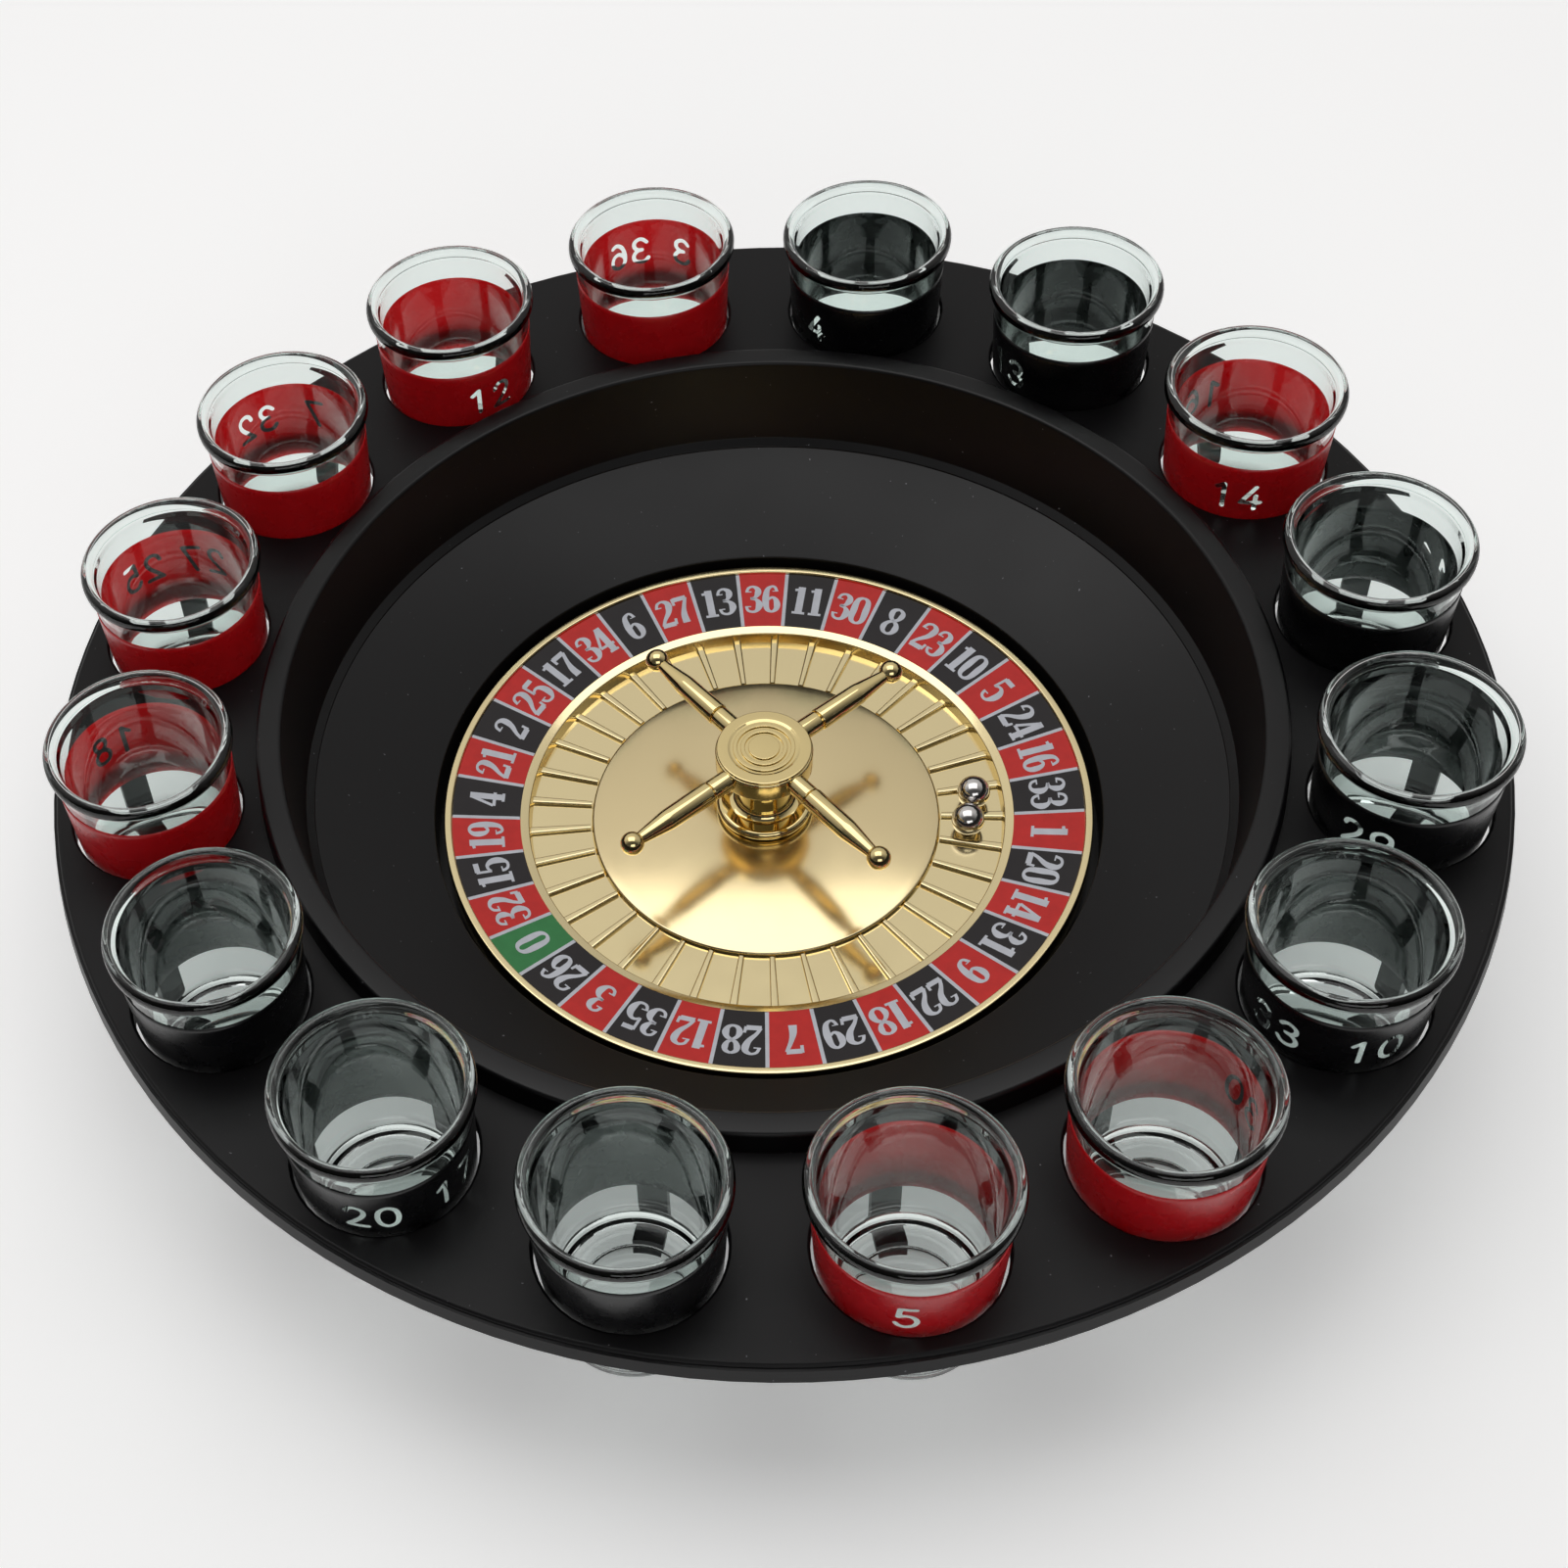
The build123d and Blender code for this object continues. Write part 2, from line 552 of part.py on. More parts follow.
def laid_out(shape, angle):
    """Lay an upright shape down along the arm line that leaves the axis at an angle."""
    return Rot(0, 0, angle) * Pos(0, 0, ARM_HEIGHT) * Rot(0, FULL_TURN / 4, 0) * shape


def make_turret_cap():
    """Disc with a plug below and turned rings on top."""
    plug_radius = TURRET_CAVITY_RADIUS - SNUG_CLEARANCE
    top = TURRET_HUB_TOP + CAP_THICKNESS
    edge = (CAP_RADIUS, top - CAP_EDGE_DROP)
    groove = top - CAP_GROOVE_DEPTH
    points = [
        (plug_radius, TURRET_HUB_TOP - CAP_PLUG_DEPTH),
        (plug_radius, TURRET_HUB_TOP),
        (CAP_RADIUS, TURRET_HUB_TOP),
        edge,
        (CAP_DISH_RADII[0], top - CAP_EDGE_DROP),
        (CAP_DISH_RADII[1], groove),
    ]
    rings = []
    low = True
    for radius in CAP_RING_RADII:
        points.append((radius, groove if low else top))
        points.append((radius, top if low else groove))
        rings.append(((radius, top), CAP_RING_ROUNDING))
        low = not low
    points.append((0, top))
    face = outline((0, TURRET_HUB_TOP - CAP_PLUG_DEPTH), *points)
    return turned(eased(face, (edge, CAP_ROUNDING), *rings))


def make_arm():
    """Handle arm: stud, plain root, collar groove, grip, taper and ball tip."""
    neck_to_centre = math.sqrt(ARM_TIP_RADIUS**2 - ARM_TIP_NECK_RADIUS**2)
    grip_edge = (ARM_GRIP_RADIUS, ARM_COLLAR_END)
    root_edge = (ARM_RADIUS, ARM_COLLAR_START)
    face = outline(
        (0, ARM_STUD_START),
        (ARM_STUD_RADIUS, ARM_STUD_START),
        (ARM_STUD_RADIUS, ARM_SEAT),
        (ARM_RADIUS, ARM_SEAT),
        root_edge,
        (ARM_COLLAR_RADIUS, ARM_COLLAR_START),
        (ARM_COLLAR_RADIUS, ARM_COLLAR_END),
        grip_edge,
        (ARM_TAPER_RADIUS, ARM_TAPER_START),
        (ARM_TIP_NECK_RADIUS, ARM_REACH - neck_to_centre),
        ((ARM_TIP_RADIUS, ARM_REACH), (0, ARM_REACH + ARM_TIP_RADIUS)),
    )
    return turned(eased(face, (grip_edge, ARM_ROUNDING), (root_edge, ARM_ROUNDING)))


def make_glass():
    """Heavy-based drinking glass with a beaded mouth and a hollow under its foot."""
    top = GLASS_HEIGHT
    bead_bottom = top - GLASS_BEAD_HEIGHT
    foot_edge = (GLASS_FOOT_RADIUS, 0)
    bead_low = (GLASS_BEAD_RADIUS, bead_bottom + GLASS_BEAD_SLOPE)
    bead_high = (GLASS_BEAD_RADIUS, top)
    mouth_edge = (GLASS_MOUTH_RADIUS, top)
    bore_foot = (GLASS_BORE_FOOT_RADIUS, GLASS_BASE_THICKNESS)
    face = outline(
        (0, GLASS_PUNT_DEPTH),
        (GLASS_PUNT_RADIUS - GLASS_PUNT_SLOPE, GLASS_PUNT_DEPTH),
        (GLASS_PUNT_RADIUS, 0),
        foot_edge,
        (GLASS_BELLY_RADIUS, GLASS_BELLY_HEIGHT),
        (GLASS_SHOULDER_RADIUS, GLASS_SHOULDER_HEIGHT),
        (GLASS_NECK_RADIUS, bead_bottom),
        bead_low,
        bead_high,
        mouth_edge,
        (GLASS_RADIUS - GLASS_WALL, top - GLASS_MOUTH_DEPTH),
        (GLASS_BELLY_RADIUS - GLASS_WALL, GLASS_BELLY_HEIGHT),
        bore_foot,
        (0, GLASS_BASE_THICKNESS),
    )
    face = eased(
        face,
        (foot_edge, GLASS_FOOT_ROUNDING),
        (bead_low, GLASS_BEAD_LOWER_ROUNDING),
        (bead_high, GLASS_BEAD_UPPER_ROUNDING),
        (mouth_edge, GLASS_MOUTH_ROUNDING),
        (bore_foot, GLASS_BORE_ROUNDING),
    )
    return Pos(0, 0, GLASS_SEAT) * turned(face)


def make_ball(pocket, share):
    """Steel ball lying on the floor between two neighbouring ribs."""
    angle = RIB_FIRST_ANGLE + FULL_TURN / POCKET_COUNT * (pocket + 0.5)
    return at_angle(Pos(0, 0, POCKET_FLOOR + BALL_RADIUS) * Sphere(BALL_RADIUS), angle, share * ROTOR_RADIUS)


def make_pieces():
    """Every piece by its name."""
    keeper_hole = KEEPER_HOLE_RADIUS
    washer_bore = PIN_RADIUS + SNUG_CLEARANCE
    screw = make_deck_screw()
    foot = make_foot()
    arm = make_arm()
    glass = make_glass()
    foot_circle = WELL_RADIUS - FOOT_INSET
    pieces = {
        "bowl_rim": make_bowl_rim(),
        "wheel_bowl": make_wheel_bowl(),
        "tray_deck": make_tray_deck(),
        "deck_screws": [at_angle(screw, angle, DECK_SCREW_CIRCLE) for angle in around(DECK_SCREW_COUNT)],
        "rubber_feet": [at_angle(foot, angle, foot_circle) for angle in around(FOOT_COUNT)],
        "spindle": make_spindle(),
        "thrust_washer": tube(WASHER_RADIUS, washer_bore, BOSS_TOP, HUB_BOTTOM),
        "keeper_washer": tube(KEEPER_RADIUS, keeper_hole, PIN_TOP, PIN_TOP + KEEPER_THICKNESS),
        "keeper_screw": make_keeper_screw(),
        "rotor_disc": make_rotor_disc(),
        "number_ring": make_number_ring(),
        "bearing_bush": tube(BUSH_RADIUS, PIN_RADIUS + RUNNING_CLEARANCE, HUB_BOTTOM, BUSH_TOP),
        "turret_post": make_turret_post(),
        "turret_cap": make_turret_cap(),
    }
    for index, angle in enumerate(around(ARM_COUNT, ARM_FIRST_ANGLE), start=1):
        pieces[f"handle_arm_{index}"] = laid_out(arm, angle)
    clockwise = around(GLASS_COUNT, STATION_FIRST_ANGLE, -FULL_TURN / GLASS_COUNT)
    for index, angle in enumerate(clockwise, start=1):
        pieces[f"glass_{index:02d}"] = at_angle(glass, angle, STATION_CIRCLE)
    for index, (pocket, share) in enumerate(BALL_PLACES, start=1):
        pieces[f"ball_{index}"] = make_ball(pocket, share)
    return pieces


def main():
    """Write one STEP file per piece."""
    os.makedirs("parts", exist_ok=True)
    for name, shape in make_pieces().items():
        if isinstance(shape, list):
            shape = Compound(children=shape)
        shape.label = name
        export_step(shape, f"parts/{name}.step")


main()
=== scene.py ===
"""Looks of the roulette wheel: finer surfaces, prints, glass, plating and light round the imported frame.

Lengths in the code below are millimetres until a mesh is made; MM turns them to metres.
"""

import math

import bmesh
import bpy
import numpy as np
from mathutils import Matrix, Vector


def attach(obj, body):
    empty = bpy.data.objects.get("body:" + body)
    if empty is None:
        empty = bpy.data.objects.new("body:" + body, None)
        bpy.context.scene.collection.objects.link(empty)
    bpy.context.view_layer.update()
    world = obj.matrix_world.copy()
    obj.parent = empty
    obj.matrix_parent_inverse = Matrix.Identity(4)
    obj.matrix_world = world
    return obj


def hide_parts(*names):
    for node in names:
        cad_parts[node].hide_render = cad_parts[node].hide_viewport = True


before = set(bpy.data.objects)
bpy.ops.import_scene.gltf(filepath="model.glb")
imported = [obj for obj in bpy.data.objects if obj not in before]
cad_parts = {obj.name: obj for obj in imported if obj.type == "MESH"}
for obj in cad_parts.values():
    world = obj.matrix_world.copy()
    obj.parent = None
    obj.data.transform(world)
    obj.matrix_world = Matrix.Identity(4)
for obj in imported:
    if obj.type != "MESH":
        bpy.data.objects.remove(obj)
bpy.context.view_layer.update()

MM = 0.001
FULL = 2.0 * math.pi

# Sizes shared with the frame, in millimetres and degrees
DECK_HEIGHT = 44.8
STATION_CIRCLE = 125.5
STATION_FIRST = 101.25
GLASS_COUNT = 16
GLASS_RADIUS = 17.7
GLASS_HEIGHT = 45.0
GLASS_SEAT = 22.7
SPINDLE_RADIUS = 3.0
BUSH_HOLE_RADIUS = 4.42
HUB_BOTTOM = 9.8
POCKET_FLOOR = 10.0
ROTOR_RADIUS = 68.9
LIP_INNER = 67.2
LABEL_INNER = 52.5
LABEL_THICKNESS = 0.25
LABEL_INNER_TOP = POCKET_FLOOR + 3.0
LABEL_OUTER_TOP = POCKET_FLOOR + 4.7
LABEL_SLOPE = (LABEL_OUTER_TOP - LABEL_INNER_TOP) / (LIP_INNER - LABEL_INNER)
POCKET_INNER = 37.5
POCKET_COUNT = 37
POCKET_PITCH = 360.0 / POCKET_COUNT
TURRET_SEAT = 13.6
HUB_LOW = 28.0
HUB_TOP = 32.8
HUB_RADIUS = 10.2
CAVITY_RADIUS = 6.4
ARM_HEIGHT = 30.45
ARM_ANGLES = (40.13, 130.13, 220.13, 310.13)
BALL_RADIUS = 3.5


# ---------------------------------------------------------------- colour and material helpers


def linear(code):
    """sRGB hex text to a linear RGBA tuple."""
    values = np.array([int(code[i:i + 2], 16) for i in (1, 3, 5)]) / 255.0
    low = values / 12.92
    high = ((values + 0.055) / 1.055) ** 2.4
    return tuple(float(v) for v in np.where(values <= 0.04045, low, high)) + (1.0,)


def add(tree, kind, settings=None, **links):
    """Add a node; settings are attributes or socket values, links name the socket it takes in."""
    node = tree.nodes.new(kind)
    for name, value in (settings or {}).items():
        if isinstance(name, str) and hasattr(node, name):
            setattr(node, name, value)
        else:
            node.inputs[name].default_value = value
    for name, source in links.items():
        key = int(name[1:]) if name[0] == "i" and name[1:].isdigit() else name.replace("_", " ")
        tree.links.new(source, node.inputs[key])
    return node


def new_material(name, **surface):
    """Material with one Principled surface; returns the material, its tree and the shader node."""
    material = bpy.data.materials.new(name)
    material.use_nodes = True
    tree = material.node_tree
    shader = tree.nodes["Principled BSDF"]
    for key, value in surface.items():
        shader.inputs[key.replace("_", " ")].default_value = value
    return material, tree, shader


def grain(tree, shader, size_mm, depth_mm, strength, detail=2.0):
    """Fine moulded grain: noise bumps of a real size and depth on the surface."""
    place = add(tree, "ShaderNodeTexCoord")
    noise = add(tree, "ShaderNodeTexNoise", {"Scale": 1.0 / (size_mm * MM), "Detail": detail},
                Vector=place.outputs["Object"])
    bump = add(tree, "ShaderNodeBump", {"Strength": strength, "Distance": depth_mm * MM},
               Height=noise.outputs["Fac"])
    tree.links.new(bump.outputs["Normal"], shader.inputs["Normal"])
    return place, noise


def varied(tree, place, size_mm, low, high, detail=3.0):
    """Slow noise mapped between two values."""
    noise = add(tree, "ShaderNodeTexNoise", {"Scale": 1.0 / (size_mm * MM), "Detail": detail},
                Vector=place.outputs["Object"])
    spread = add(tree, "ShaderNodeMapRange", {"To Min": low, "To Max": high, "From Min": 0.3, "From Max": 0.7},
                 Value=noise.outputs["Fac"])
    return spread.outputs["Result"]


def black_abs(name, base, gloss, rough_low, rough_high):
    """Black ABS, injection moulded in a fine-textured tool: satin, with faint dust and uneven gloss."""
    material, tree, shader = new_material(name, IOR=1.5, Specular_IOR_Level=gloss)
    place, _ = grain(tree, shader, 0.35, 0.02, 0.25)
    tree.links.new(varied(tree, place, 45.0, rough_low, rough_high), shader.inputs["Roughness"])
    specks = add(tree, "ShaderNodeTexNoise", {"Scale": 1.0 / (0.9 * MM), "Detail": 1.0},
                 Vector=place.outputs["Object"])
    dust = add(tree, "ShaderNodeMapRange", {"From Min": 0.79, "From Max": 0.84}, Value=specks.outputs["Fac"])
    mix = add(tree, "ShaderNodeMix", {"data_type": "RGBA", 6: linear(base), 7: linear("#8A8A90")},
              i0=dust.outputs["Result"])
    tree.links.new(mix.outputs[2], shader.inputs["Base Color"])
    return material


def gold_plate(name, base, rough_low, rough_high, ripple):
    """Gold-coloured plating on a polished moulding: mirror-like with slight waviness."""
    material, tree, shader = new_material(name, Metallic=1.0)
    shader.inputs["Base Color"].default_value = linear(base)
    place, _ = grain(tree, shader, ripple, 0.02, 0.12)
    tree.links.new(varied(tree, place, 9.0, rough_low, rough_high), shader.inputs["Roughness"])
    return material


MATERIALS = {}
MATERIALS["deck"] = black_abs("satin_moulded_black_abs", "#0C0B0D", 0.23, 0.36, 0.44)
MATERIALS["bowl"] = black_abs("satin_moulded_black_abs_bowl", "#0B0A0C", 0.33, 0.30, 0.38)
MATERIALS["gold"] = gold_plate("polished_gold_plate", "#F2DCA0", 0.05, 0.09, 4.0)
MATERIALS["pocket_gold"] = gold_plate("satin_gold_plate_on_moulding", "#F5E3B2", 0.11, 0.17, 3.0)
MATERIALS["cone_gold"] = gold_plate("satin_champagne_gold_plate", "#F0DCAC", 0.16, 0.21, 6.0)

steel, tree, shader = new_material("polished_steel_ball", Metallic=1.0)
shader.inputs["Base Color"].default_value = linear("#D9D6D4")
place, _ = grain(tree, shader, 1.5, 0.005, 0.05)
tree.links.new(varied(tree, place, 2.0, 0.05, 0.12), shader.inputs["Roughness"])
MATERIALS["ball"] = steel

zinc, tree, shader = new_material("zinc_plated_steel", Metallic=1.0)
shader.inputs["Base Color"].default_value = linear("#B9BBC0")
place, _ = grain(tree, shader, 0.4, 0.01, 0.15)
tree.links.new(varied(tree, place, 1.5, 0.25, 0.4), shader.inputs["Roughness"])
MATERIALS["zinc"] = zinc

rubber, tree, shader = new_material("moulded_black_rubber", IOR=1.5)
shader.inputs["Base Color"].default_value = linear("#242426")
place, _ = grain(tree, shader, 0.3, 0.03, 0.4)
tree.links.new(varied(tree, place, 4.0, 0.7, 0.85), shader.inputs["Roughness"])
MATERIALS["rubber"] = rubber


def print_ink(name, code):
    """Laminated print on paper: flat ink under a thin glossy film."""
    surface = {"IOR": 1.45, "Specular_IOR_Level": 0.3, "Coat_Weight": 0.12, "Coat_Roughness": 0.15}
    material, tree, shader = new_material(name, **surface)
    place, _ = grain(tree, shader, 0.5, 0.004, 0.1)
    tree.links.new(varied(tree, place, 6.0, 0.32, 0.42), shader.inputs["Roughness"])
    tint = varied(tree, place, 3.0, 0.0, 1.0)
    deep = tuple(c * 0.88 for c in linear(code)[:3]) + (1.0,)
    mix = add(tree, "ShaderNodeMix", {"data_type": "RGBA", 6: deep, 7: linear(code)}, i0=tint)
    tree.links.new(mix.outputs[2], shader.inputs["Base Color"])
    return material


MATERIALS["ink_red"] = print_ink("red_ink_laminated", "#DC302C")
MATERIALS["ink_black"] = print_ink("black_ink_laminated", "#2A2628")
MATERIALS["ink_green"] = print_ink("green_ink_laminated", "#3E8E52")
MATERIALS["ink_silver"] = print_ink("silver_grey_ink_laminated", "#DCDFE8")

glass, tree, shader = new_material("clear_soda_lime_glass", IOR=1.52, Transmission_Weight=1.0)
shader.inputs["Base Color"].default_value = linear("#F2FBF8")
place, _ = grain(tree, shader, 9.0, 0.05, 0.03)
tree.links.new(varied(tree, place, 12.0, 0.0, 0.006), shader.inputs["Roughness"])
MATERIALS["glass"] = glass


def enamel(name, code, glow):
    """Fired enamel printed on glass: even colour, low gloss, thin enough for light to glow through."""
    material, tree, shader = new_material(name, IOR=1.5, Subsurface_Weight=glow, Subsurface_Scale=MM)
    shader.inputs["Subsurface Radius"].default_value = (1.0, 0.2, 0.2)
    place, _ = grain(tree, shader, 0.8, 0.01, 0.15)
    tree.links.new(varied(tree, place, 5.0, 0.22, 0.34), shader.inputs["Roughness"])
    tint = varied(tree, place, 6.0, 0.0, 1.0)
    deep = tuple(c * 0.94 for c in linear(code)[:3]) + (1.0,)
    mix = add(tree, "ShaderNodeMix", {"data_type": "RGBA", 6: deep, 7: linear(code)}, i0=tint)
    tree.links.new(mix.outputs[2], shader.inputs["Base Color"])
    return material


MATERIALS["enamel_red"] = enamel("fired_red_enamel", "#CC121A", 0.8)
MATERIALS["enamel_black"] = enamel("fired_black_enamel", "#0C0C0E", 0.0)


# ---------------------------------------------------------------- mesh helpers


def rounded(corners, steps=7):
    """Closed outline from (radius, height, rounding) corners; a rounding is an arc between its tangents."""
    points = []
    count = len(corners)
    for index, corner in enumerate(corners):
        here = np.array(corner[:2], float)
        radius = corner[2] if len(corner) > 2 else 0.0
        if radius <= 0:
            points.append(here)
            continue
        before = np.array(corners[index - 1][:2], float) - here
        after = np.array(corners[(index + 1) % count][:2], float) - here
        before /= np.linalg.norm(before)
        after /= np.linalg.norm(after)
        half = 0.5 * math.acos(max(-1.0, min(1.0, float(before @ after))))
        reach = radius / math.tan(half)
        middle = before + after
        centre = here + middle / np.linalg.norm(middle) * radius / math.sin(half)
        start = here + before * reach - centre
        end = here + after * reach - centre
        sweep = math.acos(max(-1.0, min(1.0, float(start @ end) / radius**2)))
        for share in np.linspace(0.0, 1.0, steps):
            weight = (math.sin((1 - share) * sweep), math.sin(share * sweep))
            points.append(centre + (start * weight[0] + end * weight[1]) / math.sin(sweep))
    return np.array(points)


def arc(start, via, end, steps=16):
    """Points of the circle arc from start through via to end."""
    a, b, c = (np.array(p, float) for p in (start, via, end))
    matrix = 2 * np.array([b - a, c - a])
    centre = np.linalg.solve(matrix, np.array([b @ b - a @ a, c @ c - a @ a]))
    angles = [math.atan2(*(p - centre)[::-1]) for p in (a, b, c)]
    turn = (angles[2] - angles[0]) % FULL
    if (angles[1] - angles[0]) % FULL > turn:
        turn -= FULL
    spread = angles[0] + np.linspace(0.0, 1.0, steps) * turn
    radius = np.linalg.norm(a - centre)
    return [tuple(centre + radius * np.array([math.cos(t), math.sin(t)])) for t in spread]


def mesh_object(name, points, faces, materials, face_material=None, sharp=30.0, recalc=True):
    """Object from points in millimetres: doubles merged, faces turned outwards, edges sharp by angle."""
    mesh = bpy.data.meshes.new(name)
    mesh.from_pydata((np.asarray(points) * MM).tolist(), [], [tuple(int(i) for i in f) for f in faces])
    for material in materials:
        mesh.materials.append(MATERIALS[material])
    if face_material is not None:
        mesh.polygons.foreach_set("material_index", np.asarray(face_material, np.int32))
    shape = bmesh.new()
    shape.from_mesh(mesh)
    bmesh.ops.remove_doubles(shape, verts=shape.verts, dist=1e-7)
    if recalc:
        bmesh.ops.recalc_face_normals(shape, faces=shape.faces)
    shape.to_mesh(mesh)
    shape.free()
    mesh.shade_smooth()
    mesh.set_sharp_from_angle(angle=math.radians(sharp))
    obj = bpy.data.objects.new(name, mesh)
    bpy.context.scene.collection.objects.link(obj)
    return obj


def turn_points(outline, segments, first=0.0):
    """Grid of points: each (radius, height) of the outline carried round the Z axis."""
    angles = first + np.arange(segments) * FULL / segments
    radius, height = outline[:, 0], outline[:, 1]
    x = np.cos(angles)[:, None] * radius
    y = np.sin(angles)[:, None] * radius
    z = np.broadcast_to(height, x.shape)
    return np.stack([x, y, z], -1).reshape(-1, 3)


def grid_faces(rows, columns, wrap_rows=True, wrap_columns=True):
    """Quads that join a grid of rows by columns, each way closed or open."""
    row = np.arange(rows if wrap_rows else rows - 1)
    column = np.arange(columns if wrap_columns else columns - 1)
    r, c = np.meshgrid(row, column, indexing="ij")
    r2, c2 = (r + 1) % rows, (c + 1) % columns
    quads = np.stack([r * columns + c, r2 * columns + c, r2 * columns + c2, r * columns + c2], -1)
    return quads.reshape(-1, 4)


def turned(name, outline, segments, materials, face_material=None, first=0.0, **more):
    """Closed solid of revolution: an outline of (radius, height) points carried round the Z axis."""
    outline = np.asarray(outline, float)
    points = turn_points(outline, segments, first)
    faces = grid_faces(segments, len(outline))
    return mesh_object(name, points, faces, materials, face_material, **more)


def moved(obj, matrix):
    """Put an object's place into its mesh."""
    obj.data.transform(matrix)
    obj.data.update()
    return obj


def spot(angle, radius, height=0.0):
    """Matrix that moves out along +X, then turns about the wheel's axis; degrees and millimetres."""
    turn = Matrix.Rotation(math.radians(angle), 4, "Z")
    return turn @ Matrix.Translation(Vector((radius, 0.0, height)) * MM)


# ---------------------------------------------------------------- bowl

RIM_RADIUS = 104.5
RIM_TOP = 50.4
RIM_INNER = 99.0
RIM_ROUNDING = 0.9
WALL_FOOT = (96.7, 29.5)
LEDGE_INNER = 95.0
LEDGE_LOW = 28.2
LEDGE_ROUNDING = 0.25
SEAM_HEIGHT = 27.0
FLANGE_RADIUS = 98.7
FLANGE_BOTTOM = 25.8
RIM = rounded([
    (RIM_RADIUS, DECK_HEIGHT),
    (RIM_RADIUS - 0.4, RIM_TOP, RIM_ROUNDING),
    (RIM_INNER, RIM_TOP, RIM_ROUNDING),
    (*WALL_FOOT, LEDGE_ROUNDING),
    (LEDGE_INNER, LEDGE_LOW, LEDGE_ROUNDING),
    (LEDGE_INNER, SEAM_HEIGHT),
    (FLANGE_RADIUS, SEAM_HEIGHT),
    (99.98, DECK_HEIGHT),
])

WELL_RADIUS = 70.7
WELL_TOP = 16.5
WELL_OUTER = 72.7
BASE_TOP = 6.4
BASE_BOTTOM = 4.0
BOSS_RADIUS = 8.0
BOSS_TOP = 9.0
SPINDLE_HOLE = SPINDLE_RADIUS + 0.02
HEAD_HOLE = (4.7, 5.4)
DISH = rounded([
    (94.98, SEAM_HEIGHT),
    (94.98, 27.9),
    (WELL_RADIUS, WELL_TOP, 0.4),
    (WELL_RADIUS, BASE_TOP),
    (BOSS_RADIUS, BASE_TOP),
    (BOSS_RADIUS, BOSS_TOP),
    (SPINDLE_HOLE, BOSS_TOP),
    (SPINDLE_HOLE, HEAD_HOLE[1]),
    HEAD_HOLE,
    (HEAD_HOLE[0], BASE_BOTTOM),
    (WELL_OUTER, BASE_BOTTOM, 0.8),
    (WELL_OUTER, WELL_TOP - 2.0),
    (LEDGE_INNER, FLANGE_BOTTOM),
    (FLANGE_RADIUS, FLANGE_BOTTOM),
    (FLANGE_RADIUS, SEAM_HEIGHT),
])
for name, node, profile in (("bowl_rim_moulding", "bowl_rim", RIM), ("bowl_dish_moulding", "wheel_bowl", DISH)):
    bowl = turned(name, profile, 288, ["bowl"])
    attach(bowl, "base")
    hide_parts(node)

# ---------------------------------------------------------------- rotor

CONE_RADIUS = 37.0
CONE_EDGE_TOP = 11.2
CONE_MIDDLE = (23.9, 12.95)
SEAT_RADIUS = 10.8
ROTOR_LIP_TOP = 15.4
ROTOR_BOTTOM = 9.4
ROTOR_UNDERSIDE = 8.4
ROTOR_SEGMENTS = 10 * POCKET_COUNT
CONE = arc((CONE_RADIUS, CONE_EDGE_TOP), CONE_MIDDLE, (SEAT_RADIUS, TURRET_SEAT), 24)
UNDER_CONE = arc((SEAT_RADIUS, 12.0), (CONE_MIDDLE[0], 11.35), (CONE_RADIUS, ROTOR_UNDERSIDE), 12)
ROTOR = rounded([
    (ROTOR_RADIUS, ROTOR_BOTTOM),
    (ROTOR_RADIUS, ROTOR_LIP_TOP, 0.4),
    (LIP_INNER, ROTOR_LIP_TOP, 0.4),
    (LIP_INNER, LABEL_OUTER_TOP - LABEL_THICKNESS),
    (LABEL_INNER, LABEL_INNER_TOP - LABEL_THICKNESS),
    (LABEL_INNER, LABEL_INNER_TOP),
    (50.7, 12.5, 0.35),
    (50.2, POCKET_FLOOR),
    (POCKET_INNER, POCKET_FLOOR),
    (CONE_RADIUS + 0.3, POCKET_FLOOR),
    (CONE_RADIUS, CONE_EDGE_TOP, 0.6),
    *CONE[2:],
    (BUSH_HOLE_RADIUS, TURRET_SEAT),
    (BUSH_HOLE_RADIUS, HUB_BOTTOM),
    (8.0, HUB_BOTTOM),
    (8.0, 12.0),
    (SEAT_RADIUS, 12.0),
    *UNDER_CONE[1:],
    (51.8, ROTOR_UNDERSIDE),
    (53.3, 11.15),
    (67.3, 12.85),
    (67.3, ROTOR_BOTTOM),
])
# The cone's top is told from the shell's underside by a sloping line halfway through the shell
SHELL_MIDDLE = CONE_MIDDLE[1] - 2.0 - 0.09 * (ROTOR[:, 0] - CONE_MIDDLE[0])
ON_CONE = (ROTOR[:, 0] > SEAT_RADIUS - 0.1) & (ROTOR[:, 0] < CONE_RADIUS + 0.05) & (ROTOR[:, 1] > SHELL_MIDDLE)
FIELD_GOLD = (ON_CONE & np.roll(ON_CONE, -1)).astype(int)
rotor = turned("rotor_plated_moulding", ROTOR, ROTOR_SEGMENTS, ["pocket_gold", "cone_gold"],
               np.tile(FIELD_GOLD, ROTOR_SEGMENTS))
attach(rotor, "rotor")


RIB_FIRST_ANGLE = 87.0
RIB_WIDTHS = (1.2, 1.8)
RIB_HEIGHT = 0.85
RIB_SINK = 0.3
RIB_ROUNDING = 0.4
RIB_OUTER = 50.45


def rib_section(width):
    """Section of a rib across its length: flat sides and a rounded top."""
    half = width / 2
    return rounded([(-half, -RIB_SINK), (half, -RIB_SINK), (half, RIB_HEIGHT, RIB_ROUNDING),
                    (-half, RIB_HEIGHT, RIB_ROUNDING)], 6)


